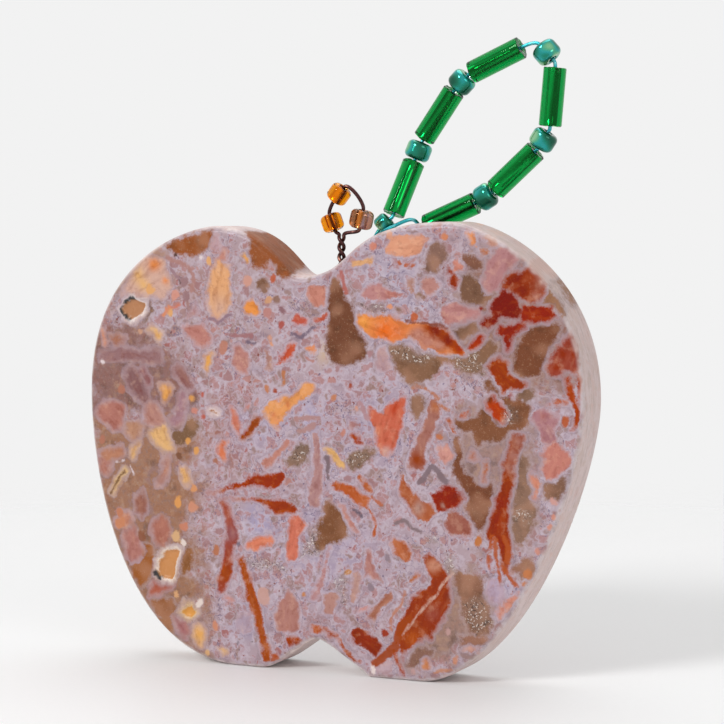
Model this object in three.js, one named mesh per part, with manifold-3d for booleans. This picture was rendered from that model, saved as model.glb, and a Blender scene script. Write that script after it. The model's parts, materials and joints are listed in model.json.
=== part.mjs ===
// Gemstone apple carving: a flat stone apple with a bead stem and a bead leaf on twisted wire.
// Millimetres, +Z up, the polished front faces -Y, the origin is the bottom centre of the whole.
import * as THREE from 'three';
import { mergeVertices } from 'three/addons/utils/BufferGeometryUtils.js';
import Module from 'manifold-3d';

// Stone slab
const halfWidth = 29.75;
const slabThickness = 6.5;
const edgeRound = 0.8;

// Places on the stone's outline, seen from the front
const leftCheekZ = 30.25;
const rightCheekZ = 30.75;
const leftShoulderX = -13.75;
const leftShoulderZ = 49.25;
const rightShoulderX = 14.5;
const rightShoulderZ = 49.75;
const dipX = -3.25;
const dipZ = 43.75;
const leftFootOuterX = -11;
const leftFootInnerX = -8;
const rightFootInnerX = 5;
const rightFootOuterX = 11;
const toeWidth = 0.5;
const toeHeight = 0.6;
const notchX = -1.25;
const notchZ = 3.75;

// How far the outline runs on past each place before it turns
const leftFootRun = 13.5;
const leftCheekLowRun = 12;
const leftCheekHighRun = 16.5;
const leftShoulderOuterRun = 2;
const leftShoulderInnerRun = 7;
const dipLeftRun = 2;
const dipRightRun = 7.25;
const rightShoulderInnerRun = 13.5;
const rightShoulderOuterRun = 3.5;
const rightCheekHighRun = 13.75;
const rightCheekLowRun = 8;
const rightFootRun = 10.5;
const notchRun = 1;
const leftFootInnerRun = 2;

// Wires, and the drilled hole that both twisted tails are glued into
const stemWireDiameter = 0.42;
const leafWireDiameter = 0.42;
const strandGap = 0.12;
const twistPitch = 2.2;
const holeX = 0.9;
const holeDepth = 9;
const drillRun = 5;
const glueDrop = 0.8;
const glueGap = 0.12;
const glueWeb = 0.15;
const glueWall = 0.15;
const tailLift = 0.6;

// Beads
const boreGap = 0.3;
const beadGap = 0.12;
const amberDiameter = 2.4;
const amberLength = 1.9;
const amberRound = 0.4;
const lusterDiameter = 2.6;
const lusterLength = 2.1;
const lusterRound = 0.6;
const bugleDiameter = 2.5;
const bugleLength = 6.4;
const bugleRound = 0.15;
const seedDiameter = 2.9;
const seedLength = 2.05;
const seedRound = 0.75;
const rootSeedDiameter = 2.4;
const rootSeedLength = 1.7;
const rootSeedRound = 0.5;

// Stem loop: bead places from the top of the twist, the way the wire runs in degrees from +X,
// and how gently it bends on the way to the bead
const stemTwistHeight = 4.1;
const leftBeadX = -1.1;
const leftBeadZ = 1.45;
const topBeadX = -0.3;
const topBeadZ = 4.55;
const rightBeadX = 2.4;
const rightBeadZ = 1.8;
const stemEase = 0.35;
const stemArcEase = 0.55;
const stemLoop = [
  { name: 'stem_bead_left', kind: 'amber', x: leftBeadX, z: leftBeadZ, heading: 111, ease: stemEase },
  { name: 'stem_bead_top', kind: 'amber', x: topBeadX, z: topBeadZ, heading: 51, ease: stemEase },
  { name: 'stem_bead_right', kind: 'luster', x: rightBeadX, z: rightBeadZ, heading: -102, ease: stemArcEase },
];
const stemReturnEase = 0.6;

// Leaf loop: the way each bead points, in degrees from +X and leaning to the back
const leafRootX = 4.5;
const leafRootInset = 0.25;
const leafRootLift = 0.6;
const leafEase = 0.3;
const tipLead = 1.8;
const tipFollow = 0.8;
const tipEase = 1;
const leafBeads = [
  { name: 'leaf_root_seed', kind: 'root', heading: 46, lean: 12 },
  { name: 'leaf_bugle_1', kind: 'bugle', heading: 75, lean: 20 },
  { name: 'leaf_seed_1', kind: 'seed', heading: 70, lean: 9 },
  { name: 'leaf_bugle_2', kind: 'bugle', heading: 54, lean: -3 },
  { name: 'leaf_seed_2', kind: 'seed', heading: 45, lean: 0 },
  { name: 'leaf_bugle_3', kind: 'bugle', heading: 24, lean: 0 },
  { name: 'leaf_seed_3', kind: 'seed', heading: -48, lean: 0, tip: true },
  { name: 'leaf_bugle_4', kind: 'bugle', heading: -95, lean: 0 },
  { name: 'leaf_seed_4', kind: 'seed', heading: -124, lean: 0 },
  { name: 'leaf_bugle_5', kind: 'bugle', heading: -138, lean: 0 },
  { name: 'leaf_seed_5', kind: 'seed', heading: -148, lean: 0 },
  { name: 'leaf_bugle_6', kind: 'bugle', heading: -157, lean: 0 },
];

// Leaf wire: its twist lies along the slope of the dip, and its last stretch comes from behind,
// over the stone's back edge and past the root seed
const tailReach = 2.3;
const tailBack = 2.2;
const tailClear = 0.3;
const tailWay = new THREE.Vector3(1, 0.45, 0.75).normalize();
const tailRise = 1.6;
const tailEase = 1.2;
const overReach = 2.6;
const overBehind = 0.3;
const overHeight = 1.1;
const overWay = new THREE.Vector3(-0.75, -0.6, -0.2).normalize();
const overEase = 1.3;
const besideReach = 0.75;
const besideFront = 1.55;
const besideHeight = 0.75;
const besideWay = new THREE.Vector3(-0.9, -0.2, -0.4).normalize();
const besideEase = 0.6;

const material = (color, roughness, metalness) =>
  new THREE.MeshStandardMaterial({ color, roughness, metalness });
const agate = material('#b58f86', 0.25, 0);
const epoxy = material('#d8d2b8', 0.3, 0);
const brownWire = material('#3a241c', 0.35, 0.5);
const tealWire = material('#1f8f92', 0.35, 0.5);
const amberGlass = material('#c97a12', 0.1, 0);
const lusterGlass = material('#b5763a', 0.1, 0);
const greenGlass = material('#0d8a4a', 0.1, 0);
const tealGlass = material('#2aa39a', 0.1, 0);

const root = new THREE.Group();
const point = (x, y, z) => new THREE.Vector3(x, y, z);

function addMesh(name, geometry, look) {
  const mesh = new THREE.Mesh(geometry, look);
  mesh.name = name;
  root.add(mesh);
  return mesh;
}

// Outline of the stone as curves from place to place, clockwise from the left foot
const place = (x, z) => new THREE.Vector2(x, z);
const curve = (from, fromRun, toRun, to) =>
  new THREE.CubicBezierCurve(from, from.clone().add(fromRun), to.clone().add(toRun), to);
const leftFootOuter = place(leftFootOuterX, 0);
const leftFootInner = place(leftFootInnerX, 0);
const leftCheek = place(-halfWidth, leftCheekZ);
const leftShoulder = place(leftShoulderX, leftShoulderZ);
const dip = place(dipX, dipZ);
const rightShoulder = place(rightShoulderX, rightShoulderZ);
const rightCheek = place(halfWidth, rightCheekZ);
const rightFootOuter = place(rightFootOuterX, 0);
const rightFootInner = place(rightFootInnerX, 0);
const toe = place(rightFootInnerX - toeWidth, toeHeight);
const notch = place(notchX, notchZ);
const leftTop = curve(
  leftShoulder, place(leftShoulderInnerRun, 0), place(-dipLeftRun, 0), dip);
const rightTop = curve(
  dip, place(dipRightRun, 0), place(-rightShoulderInnerRun, 0), rightShoulder);
const outline = new THREE.Shape();
outline.curves.push(
  new THREE.LineCurve(leftFootInner, leftFootOuter),
  curve(leftFootOuter, place(-leftFootRun, 0), place(0, -leftCheekLowRun), leftCheek),
  curve(leftCheek, place(0, leftCheekHighRun), place(-leftShoulderOuterRun, 0), leftShoulder),
  leftTop,
  rightTop,
  curve(rightShoulder, place(rightShoulderOuterRun, 0), place(0, rightCheekHighRun), rightCheek),
  curve(rightCheek, place(0, -rightCheekLowRun), place(rightFootRun, 0), rightFootOuter),
  new THREE.LineCurve(rightFootOuter, rightFootInner),
  new THREE.LineCurve(rightFootInner, toe),
  curve(toe, notch.clone().sub(toe).multiplyScalar(0.4), place(notchRun, 0), notch),
  curve(notch, place(-notchRun, 0), place(leftFootInnerRun, 0), leftFootInner),
);

// Height of the stone's top at a place between the shoulders
const topPoints = [...leftTop.getPoints(40), ...rightTop.getPoints(60).slice(1)];
function stoneTop(x) {
  const next = topPoints.findIndex((p) => p.x > x);
  const after = topPoints[next];
  const before = topPoints[next - 1];
  return before.y + ((after.y - before.y) * (x - before.x)) / (after.x - before.x);
}

// Drilled hole and glue, sized from the two twisted tails
const stemTwist = 2 * stemWireDiameter + strandGap;
const leafTwist = 2 * leafWireDiameter + strandGap;
const stemTailBore = stemTwist + 2 * glueGap;
const leafTailBore = leafTwist + 2 * glueGap;
const plugDiameter = stemTailBore + leafTailBore + glueWeb + 2 * glueWall;
const holeDiameter = plugDiameter + 2 * glueGap;
const stemTailY = -(plugDiameter / 2 - glueWall - stemTailBore / 2);
const leafTailY = plugDiameter / 2 - glueWall - leafTailBore / 2;
const mouthZ = stoneTop(holeX - holeDiameter / 2);
const holeFloorZ = mouthZ - holeDepth;
const plugTopZ = mouthZ - glueDrop;
const plugBottomZ = holeFloorZ + glueGap;
const tailEndZ = plugBottomZ + tailLift;

// Stone: the outline extruded with rounded edges, less the drilled hole
const slab = new THREE.ExtrudeGeometry(outline, {
  depth: slabThickness - 2 * edgeRound,
  bevelThickness: edgeRound,
  bevelSize: edgeRound,
  bevelOffset: -edgeRound,
  bevelSegments: 3,
  curveSegments: 12,
});
slab.translate(0, 0, edgeRound - slabThickness / 2);
slab.rotateX(Math.PI / 2);
const drillTop = Math.max(leftShoulderZ, rightShoulderZ) + drillRun;
const drill = new THREE.CylinderGeometry(holeDiameter / 2, holeDiameter / 2, drillTop - holeFloorZ, 24);
drill.rotateX(Math.PI / 2);
drill.translate(holeX, 0, (drillTop + holeFloorZ) / 2);

const wasm = await Module();
wasm.setup();
function toManifold(source) {
  const bare = source.clone();
  bare.deleteAttribute('normal');
  bare.deleteAttribute('uv');
  const merged = mergeVertices(bare, 1e-4);
  const mesh = new wasm.Mesh({
    numProp: 3,
    vertProperties: new Float32Array(merged.attributes.position.array),
    triVerts: new Uint32Array(merged.index.array),
  });
  return new wasm.Manifold(mesh);
}
function fromManifold(solid) {
  const mesh = solid.getMesh();
  const geometry = new THREE.BufferGeometry();
  geometry.setAttribute('position', new THREE.BufferAttribute(mesh.vertProperties, 3));
  geometry.setIndex(new THREE.BufferAttribute(mesh.triVerts, 1));
  return geometry;
}
addMesh('stone_apple', fromManifold(toManifold(slab).subtract(toManifold(drill))), agate);

// Glue plug: a cylinder with a bore for each tail
const plugShape = new THREE.Shape();
plugShape.absarc(0, 0, plugDiameter / 2, 0, 2 * Math.PI);
[[stemTailY, stemTailBore], [leafTailY, leafTailBore]].forEach(([y, bore]) => {
  const hole = new THREE.Path();
  hole.absarc(0, y, bore / 2, 0, 2 * Math.PI, true);
  plugShape.holes.push(hole);
});
const plug = new THREE.ExtrudeGeometry(plugShape, {
  depth: plugTopZ - plugBottomZ,
  bevelEnabled: false,
  curveSegments: 10,
});
plug.translate(holeX, 0, plugBottomZ);
addMesh('glue_plug', plug, epoxy);

// Beads: turned about their own thread axis, which is the lathe's Y
const stemBore = stemWireDiameter + 2 * boreGap;
const leafBore = leafWireDiameter + 2 * boreGap;
const beadKind = (diameter, length, round, bore, look) => ({ diameter, length, round, bore, look });
const beadKinds = {
  amber: beadKind(amberDiameter, amberLength, amberRound, stemBore, amberGlass),
  luster: beadKind(lusterDiameter, lusterLength, lusterRound, stemBore, lusterGlass),
  root: beadKind(rootSeedDiameter, rootSeedLength, rootSeedRound, leafBore, tealGlass),
  seed: beadKind(seedDiameter, seedLength, seedRound, leafBore, tealGlass),
  bugle: beadKind(bugleDiameter, bugleLength, bugleRound, leafBore, greenGlass),
};
const beadSides = 16;
const roundSteps = 3;
Object.values(beadKinds).forEach((kind) => {
  const radius = kind.diameter / 2;
  const half = kind.length / 2;
  kind.edge = Math.min(kind.round, 0.9 * (radius - kind.bore / 2), 0.9 * half);
  kind.flat = radius - kind.edge;
  const profile = [new THREE.Vector2(kind.bore / 2, -half)];
  [-1, 1].forEach((end) => {
    for (let i = 0; i <= roundSteps; i += 1) {
      const turn = ((end < 0 ? i : roundSteps - i) / roundSteps) * (Math.PI / 2);
      const rise = half - kind.edge + kind.edge * Math.cos(turn);
      profile.push(new THREE.Vector2(kind.flat + kind.edge * Math.sin(turn), end * rise));
    }
  });
  profile.push(new THREE.Vector2(kind.bore / 2, half), profile[0].clone());
  kind.geometry = new THREE.LatheGeometry(profile, beadSides);
});

function addBead(bead) {
  const mesh = addMesh(bead.name, beadKinds[bead.kind].geometry, beadKinds[bead.kind].look);
  mesh.quaternion.setFromUnitVectors(point(0, 1, 0), bead.way);
  mesh.position.copy(bead.centre);
}

const turned = (heading, lean) => {
  const flat = Math.cos(THREE.MathUtils.degToRad(lean));
  const angle = THREE.MathUtils.degToRad(heading);
  return point(flat * Math.cos(angle), Math.sin(THREE.MathUtils.degToRad(lean)), flat * Math.sin(angle));
};

// Wire: a round section drawn along a list of points
class WireWay extends THREE.Curve {
  constructor(points) {
    super();
    this.points = points;
  }

  getPointAt(share) {
    return this.points[Math.round(share * (this.points.length - 1))].clone();
  }

  getTangentAt(share) {
    const last = this.points.length - 1;
    const index = Math.round(share * last);
    const before = this.points[Math.max(index - 1, 0)];
    const after = this.points[Math.min(index + 1, last)];
    return after.clone().sub(before).normalize();
  }
}

function wireGeometry(points, diameter) {
  const section = new THREE.Shape();
  section.absarc(0, 0, diameter / 2, 0, 2 * Math.PI);
  return new THREE.ExtrudeGeometry(section, {
    extrudePath: new WireWay(points),
    steps: points.length - 1,
    curveSegments: 4,
  });
}

function bendTo(points, fromWay, to, toWay, ease, steps) {
  const from = points[points.length - 1];
  const bend = new THREE.CubicBezierCurve3(
    from,
    from.clone().addScaledVector(fromWay, ease),
    to.clone().addScaledVector(toWay, -ease),
    to,
  );
  points.push(...bend.getPoints(steps).slice(1));
}

function runThrough(points, fromWay, bead, ease, steps) {
  const reach = beadKinds[bead.kind].length / 2 + beadGap / 4;
  bendTo(points, fromWay, bead.centre.clone().addScaledVector(bead.way, -reach), bead.way, ease, steps);
  points.push(bead.centre.clone().addScaledVector(bead.way, reach));
}

// Two strands twisted about a middle line, running straight down into the glue below it
function twistStrands(middle, spread, firstSide) {
  const long = middle.getLength();
  const steps = Math.ceil((long / twistPitch) * 12);
  const side = firstSide.clone();
  const strands = [[], []];
  for (let i = steps; i >= 0; i -= 1) {
    const tangent = middle.getTangentAt(i / steps);
    side.addScaledVector(tangent, -side.dot(tangent)).normalize();
    const other = tangent.clone().cross(side);
    const turn = (2 * Math.PI * long * (1 - i / steps)) / twistPitch;
    const offset = side.clone().multiplyScalar((Math.cos(turn) * spread) / 2);
    offset.addScaledVector(other, (Math.sin(turn) * spread) / 2);
    const centre = middle.getPointAt(i / steps);
    strands[0].unshift(centre.clone().add(offset));
    strands[1].unshift(centre.clone().sub(offset));
  }
  strands.forEach((strand) => strand.unshift(strand[0].clone().setZ(tailEndZ)));
  return strands;
}

// Stem: twist, loop through its three beads, back down the twist
const upright = point(0, 0, 1);
const stemFoot = point(holeX, stemTailY, mouthZ);
const stemTop = stemFoot.clone().addScaledVector(upright, stemTwistHeight);
const stemMiddle = new THREE.LineCurve3(stemFoot, stemTop);
const stemSpread = stemWireDiameter + strandGap;
const [stemPoints, stemDown] = twistStrands(stemMiddle, stemSpread, point(-1, 0, 0));
let stemWay = upright;
stemLoop.forEach((bead) => {
  bead.centre = stemTop.clone().add(point(bead.x, 0, bead.z));
  bead.way = turned(bead.heading, 0);
  runThrough(stemPoints, stemWay, bead, bead.ease, 8);
  stemWay = bead.way;
  addBead(bead);
});
stemDown.reverse();
bendTo(stemPoints, stemWay, stemDown[0], upright.clone().negate(), stemReturnEase, 8);
stemPoints.push(...stemDown.slice(1));
addMesh('stem_wire', wireGeometry(stemPoints, stemWireDiameter), brownWire);

// Leaf beads: each follows the one before it, with the room that its rounded end needs to tilt
const tiltRoom = (kind, slope) => kind.flat * slope + kind.edge * (Math.hypot(1, slope) - 1);
const leafRootZ = stoneTop(leafRootX) + rootSeedDiameter / 2 + leafRootLift;
leafBeads.forEach((bead, index) => {
  bead.way = turned(bead.heading, bead.lean);
  bead.centre = point(leafRootX, slabThickness / 2 - leafRootInset, leafRootZ);
  if (index > 0) {
    const last = leafBeads[index - 1];
    const kind = beadKinds[bead.kind];
    const lastKind = beadKinds[last.kind];
    const slope = Math.tan(last.way.angleTo(bead.way) / 2);
    const room = (beadGap + tiltRoom(lastKind, slope) + tiltRoom(kind, slope)) / 2;
    bead.centre = last.centre.clone();
    bead.centre.addScaledVector(last.way, lastKind.length / 2 + (bead.tip ? tipLead : room));
    bead.centre.addScaledVector(bead.way, kind.length / 2 + (bead.tip ? tipFollow : room));
  }
  addBead(bead);
});

// Leaf wire: up the twist, round the loop of beads, and back down the twist
const tailX = holeX + tailReach;
const tailTop = point(tailX, tailBack, stoneTop(tailX) + leafTwist / 2 + tailClear);
const tailFoot = point(holeX, leafTailY, mouthZ);
const tailMiddle = new THREE.CubicBezierCurve3(
  tailFoot,
  tailFoot.clone().addScaledVector(upright, tailRise),
  tailTop.clone().addScaledVector(tailWay, -tailEase),
  tailTop,
);
const leafSpread = leafWireDiameter + strandGap;
const [leafPoints, leafDown] = twistStrands(tailMiddle, leafSpread, point(0, 1, 0.3));
let leafWay = tailWay;
leafBeads.forEach((bead) => {
  runThrough(leafPoints, leafWay, bead, bead.tip ? tipEase : leafEase, bead.tip ? 10 : 5);
  leafWay = bead.way;
});
const rootSeed = leafBeads[0].centre;
const overX = rootSeed.x + overReach;
const over = point(overX, slabThickness / 2 + overBehind, stoneTop(overX) + overHeight);
const besideX = rootSeed.x + besideReach;
const beside = point(besideX, rootSeed.y - besideFront, stoneTop(besideX) + besideHeight);
leafDown.reverse();
bendTo(leafPoints, leafWay, over, overWay, overEase, 14);
bendTo(leafPoints, overWay, beside, besideWay, besideEase, 6);
bendTo(leafPoints, besideWay, leafDown[0], tailWay.clone().negate(), besideEase, 6);
leafPoints.push(...leafDown.slice(1));
addMesh('leaf_wire', wireGeometry(leafPoints, leafWireDiameter), tealWire);

// Put the origin at the bottom centre of everything
root.updateMatrixWorld(true);
const box = new THREE.Box3().setFromObject(root, true);
const middle = box.getCenter(new THREE.Vector3());
root.children.forEach((mesh) => mesh.position.sub(point(middle.x, middle.y, box.min.z)));

export default root;
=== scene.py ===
import json
import math
from functools import partial
import bpy
import numpy as np
from mathutils import Matrix, Vector, noise
from mathutils.geometry import delaunay_2d_cdt


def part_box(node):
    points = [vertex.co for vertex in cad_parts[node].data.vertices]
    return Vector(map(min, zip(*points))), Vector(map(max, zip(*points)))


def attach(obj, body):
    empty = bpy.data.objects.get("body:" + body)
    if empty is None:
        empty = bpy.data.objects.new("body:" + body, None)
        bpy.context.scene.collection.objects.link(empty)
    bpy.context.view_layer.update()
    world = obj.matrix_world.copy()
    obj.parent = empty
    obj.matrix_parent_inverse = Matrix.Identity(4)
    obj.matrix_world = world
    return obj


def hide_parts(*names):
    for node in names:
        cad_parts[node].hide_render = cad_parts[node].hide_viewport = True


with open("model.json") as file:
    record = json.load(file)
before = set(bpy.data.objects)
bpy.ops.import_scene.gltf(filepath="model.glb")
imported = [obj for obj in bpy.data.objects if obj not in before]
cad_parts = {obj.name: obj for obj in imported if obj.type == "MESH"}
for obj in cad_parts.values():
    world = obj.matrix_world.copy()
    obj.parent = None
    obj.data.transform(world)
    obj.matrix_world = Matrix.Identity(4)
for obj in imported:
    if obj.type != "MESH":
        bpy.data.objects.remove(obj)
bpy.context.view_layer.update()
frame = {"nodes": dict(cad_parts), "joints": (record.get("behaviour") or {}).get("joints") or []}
mm = 0.001
noise.seed_set(5)  # the noise vectors start from the clock otherwise
bpy.context.scene.view_settings.view_transform = "Standard"


def linear(hexColour):  # sRGB hex to linear red, green, blue, alpha
    parts = [int(hexColour[i:i + 2], 16) / 255 for i in (1, 3, 5)]
    return [c / 12.92 if c <= 0.04045 else ((c + 0.055) / 1.055) ** 2.4 for c in parts] + [1.0]


# One node with its settings, the stops of a colour ramp, its values and its links
def addNode(tree, kind, inputs=None, stops=(), **settings):
    node = tree.nodes.new("ShaderNode" + kind)
    for key, value in settings.items():
        setattr(node, key, value)
    for i, (place, colour) in enumerate(stops):
        marks = node.color_ramp.elements
        mark = marks[i] if i < 2 else marks.new(place)
        mark.position, mark.color = place, linear(colour)
    for key, value in (inputs or {}).items():
        if isinstance(value, bpy.types.Node):  # a node stands for its first output in use
            value = next(socket for socket in value.outputs if socket.enabled)
        if isinstance(value, bpy.types.NodeSocket):
            tree.links.new(value, node.inputs[key])
        else:
            node.inputs[key].default_value = value
    return node


def newMaterial(name):  # an empty node material, and the function that adds a node to it
    material = bpy.data.materials.new(name)
    material.use_nodes = True
    material.node_tree.nodes.clear()
    return material, partial(addNode, material.node_tree)


def addPiece(name, mesh, materials):
    for material in materials:
        mesh.materials.append(material)
    piece = bpy.data.objects.new(name, mesh)
    bpy.context.scene.collection.objects.link(piece)
    return piece


# Camera: the photograph's viewpoint, a little right of the front and just above level
camera = {
    "turn": 24.0, "rise": 3.6, "distance": 250.0, "target": (3.06, -1.997, 34.33), "halfView": 39.82, "nearest": 10.0,
}


def makeCamera():
    turn, rise = math.radians(camera["turn"]), math.radians(camera["rise"])
    back = Vector((math.sin(turn) * math.cos(rise), -math.cos(turn) * math.cos(rise), math.sin(rise)))
    lens = bpy.data.cameras.new("photoCamera")
    lens.sensor_fit = "HORIZONTAL"
    lens.angle = 2 * math.atan(camera["halfView"] / camera["distance"])
    lens.clip_start = camera["nearest"] * mm
    eye = bpy.data.objects.new("photoCamera", lens)
    eye.location = (Vector(camera["target"]) + back * camera["distance"]) * mm
    eye.rotation_euler = back.to_track_quat("Z", "Y").to_euler()
    bpy.context.scene.collection.objects.link(eye)
    bpy.context.scene.camera = eye


makeCamera()
print("camera set")

# Stage: a pale floor that fades into the background, a soft key from the front left, weaker side and top lamps
stage = {
    "background": "#F2F2F2", "skyLow": 0.32, "skyHigh": 0.54, "fromBelow": 0.8, "horizon": 0.05,
    "floor": "#F4F4F4", "floorReach": 700.0, "floorSides": 48, "fadeFrom": 75.0, "fadeTo": 190.0,
    "fibre": 0.6, "fibreTone": 0.015, "paperRoughness": 0.48, "paperIor": 1.25,
    "keyPlace": (-330.0, -760.0, 520.0), "keySize": 300.0, "keyPower": 4.8,
    "sidePlace": (660.0, -400.0, 280.0), "sideSize": 400.0, "sidePower": 0.9,
    "topPlace": (-60.0, 180.0, 700.0), "topSize": 640.0, "topPower": 2.0,
    "lampAim": (2.0, 0.0, 30.0),
}


def makeStage():
    world = bpy.data.worlds.new("paleStudio")
    bpy.context.scene.world = world
    world.use_nodes = True
    world.node_tree.nodes.clear()
    add = partial(addNode, world.node_tree)
    way = add("LightPath").outputs
    seen = add("Math", {0: way["Is Camera Ray"], 1: way["Is Glossy Ray"]}, operation="MAXIMUM")
    seen = add("Math", {0: seen, 1: way["Is Transmission Ray"]}, operation="MAXIMUM")
    # light: weak along the horizon, strong from overhead, so that the floor darkens where the stone stands
    look = add("TexCoord").outputs["Generated"]
    height = add("SeparateXYZ", {0: look}).outputs["Z"]
    above = add("MapRange", {"Value": height, "To Min": stage["skyLow"], "To Max": stage["skyHigh"]})
    below = add("MapRange", {
        "Value": height, "From Min": 0.0, "From Max": -stage["horizon"],
        "To Max": stage["fromBelow"] - stage["skyLow"],
    })
    fill = add("Math", {0: above, 1: below}, operation="ADD")
    level = add("Mix", {0: seen, 2: fill, 3: 1.0})
    glow = add("Background", {"Color": linear(stage["background"]), "Strength": level})
    add("OutputWorld", {"Surface": glow})

    # smooth paper sweep: faint sheen, faint fibre tone, see-through far away so that no horizon shows
    paper, add = newMaterial("smoothPaper")
    place = add("TexCoord").outputs["Object"]
    fibre = add("TexNoise", {"Vector": place, "Scale": 1 / (stage["fibre"] * mm), "Detail": 3.0})
    tone = add("MapRange", {"Value": fibre, "To Min": 1 - stage["fibreTone"], "To Max": 1 + stage["fibreTone"]})
    shade = add("VectorMath", {0: linear(stage["floor"])[:3], 1: tone}, operation="MULTIPLY")
    sheet = add("BsdfPrincipled", {
        "Base Color": shade, "Roughness": stage["paperRoughness"], "IOR": stage["paperIor"],
    })
    reach = add("VectorMath", {0: place}, operation="LENGTH").outputs["Value"]
    fade = add("MapRange", {
        "Value": reach, "From Min": stage["fadeFrom"] * mm, "From Max": stage["fadeTo"] * mm,
    }, interpolation_type="SMOOTHSTEP")
    both = add("MixShader", {0: fade, 1: sheet, 2: add("BsdfTransparent")})
    add("OutputMaterial", {"Surface": both})
    sides, radius = stage["floorSides"], stage["floorReach"] * mm
    turns = [2 * math.pi * i / sides for i in range(sides)]
    mesh = bpy.data.meshes.new("paperFloor")
    mesh.from_pydata([(radius * math.cos(a), radius * math.sin(a), 0) for a in turns], [], [tuple(range(sides))])
    addPiece("paperFloor", mesh, [paper])

    for name in ("key", "side", "top"):
        lamp = bpy.data.lights.new(name + "Lamp", "AREA")
        lamp.shape = "DISK"
        lamp.size = stage[name + "Size"] * mm
        lamp.energy = stage[name + "Power"]
        holder = bpy.data.objects.new(name + "Lamp", lamp)
        holder.location = Vector(stage[name + "Place"]) * mm
        aim = holder.location - Vector(stage["lampAim"]) * mm
        holder.rotation_euler = aim.to_track_quat("Z", "Y").to_euler()
        bpy.context.scene.collection.objects.link(holder)


makeStage()
print("stage set")

# Stone: the slab's outline in millimetres, each side as (from, run out, run in, to)
stone = {
    "outline": [
        ((-11, 0), (-13.5, 0), (0, -12), (-29.75, 30.25)),
        ((-29.75, 30.25), (0, 16.5), (-2, 0), (-13.75, 49.25)),
        ((-13.75, 49.25), (7, 0), (-2, 0), (-3.25, 43.75)),
        ((-3.25, 43.75), (7.25, 0), (-13.5, 0), (14.5, 49.75)),
        ((14.5, 49.75), (3.5, 0), (0, 13.75), (29.75, 30.75)),
        ((29.75, 30.75), (0, -8), (10.5, 0), (11, 0)),
        ((11, 0), (-2, 0), (2, 0), (5, 0)),
        ((5, 0), (-0.15, 0.2), (0.15, -0.2), (4.5, 0.6)),
        ((4.5, 0.6), (-2.3, 1.26), (1, 0), (-1.25, 3.75)),
        ((-1.25, 3.75), (-1, 0), (2, 0), (-8, 0)),
        ((-8, 0), (-1, 0), (1, 0), (-11, 0)),
    ],
    "thickness": 6.5, "edgeRound": 0.8, "outlineStep": 0.25, "frontStep": 0.27, "backStep": 0.42,
    "curveSteps": 80, "edgeSteps": 6, "wallSteps": 11, "insetStep": 0.05, "insetEase": 0.12,
    "holeX": 0.9, "holeWidth": 3.09, "holeFloor": 35.1, "holeTop": 60.0, "holeSides": 40, "pitDepth": 0.35,
    "slant": (0.25, -0.2),  # how far the pattern drifts in x and z for each millimetre of depth
}
slabLow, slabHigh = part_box("stone_apple")
midY = (slabLow.y + slabHigh.y) / 2 / mm
frontY = slabLow.y / mm


def bezier(start, runOut, runIn, end, steps):
    a, d = np.array(start, float), np.array(end, float)
    b, c = a + runOut, d + runIn
    t = np.linspace(0, 1, steps + 1)[:, None]
    return (1 - t) ** 3 * a + 3 * (1 - t) ** 2 * t * b + 3 * (1 - t) * t ** 2 * c + t ** 3 * d


def stoneOutline():  # evenly spaced points, clockwise from the front, with the corners eased
    path = np.vstack([bezier(*side, stone["curveSteps"])[:-1] for side in stone["outline"]])
    closed = np.vstack([path, path[:1]])
    run = np.concatenate([[0], np.cumsum(np.hypot(*np.diff(closed, axis=0).T))])
    count = int(run[-1] / stone["outlineStep"])
    even = np.linspace(0, run[-1], count, endpoint=False)
    ring = np.column_stack([np.interp(even, run, closed[:, k]) for k in (0, 1)])
    for _ in range(2):
        ring = (np.roll(ring, 1, 0) + 2 * ring + np.roll(ring, -1, 0)) / 4
    return ring


def inset(ring, depth):  # the ring moved inwards in small eased steps, so that tight corners don't cross
    steps = max(1, math.ceil(depth / stone["insetStep"]))
    for _ in range(steps):
        along = np.roll(ring, -1, 0) - np.roll(ring, 1, 0)
        along /= np.hypot(*along.T)[:, None]
        ring = ring + np.column_stack([along[:, 1], -along[:, 0]]) * depth / steps
        ring = ring + stone["insetEase"] * (np.roll(ring, 1, 0) + np.roll(ring, -1, 0) - 2 * ring)
    return ring


def inside(points, ring):  # even-odd test of many points against one closed outline
    x, z = points[:, 0], points[:, 1]
    hit = np.zeros(len(points), bool)
    for (ax, az), (bx, bz) in zip(ring, np.roll(ring, -1, 0)):
        cross = (az > z) != (bz > z)
        if cross.any():
            hit ^= cross & (x < (bx - ax) * (z - az) / (bz - az + 1e-12) + ax)
    return hit


def edgeDistance(points, ring, closed=True):  # distance in mm to an outline or a line
    best = np.full(len(points), 1e9)
    ends = np.roll(ring, -1, 0) if closed else ring[1:]
    for a, b in zip(ring, ends):
        side = b - a
        share = np.clip(((points - a) @ side) / max(side @ side, 1e-12), 0, 1)
        away = points - a - share[:, None] * side
        best = np.minimum(best, np.hypot(away[:, 0], away[:, 1]))
    return best


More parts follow.
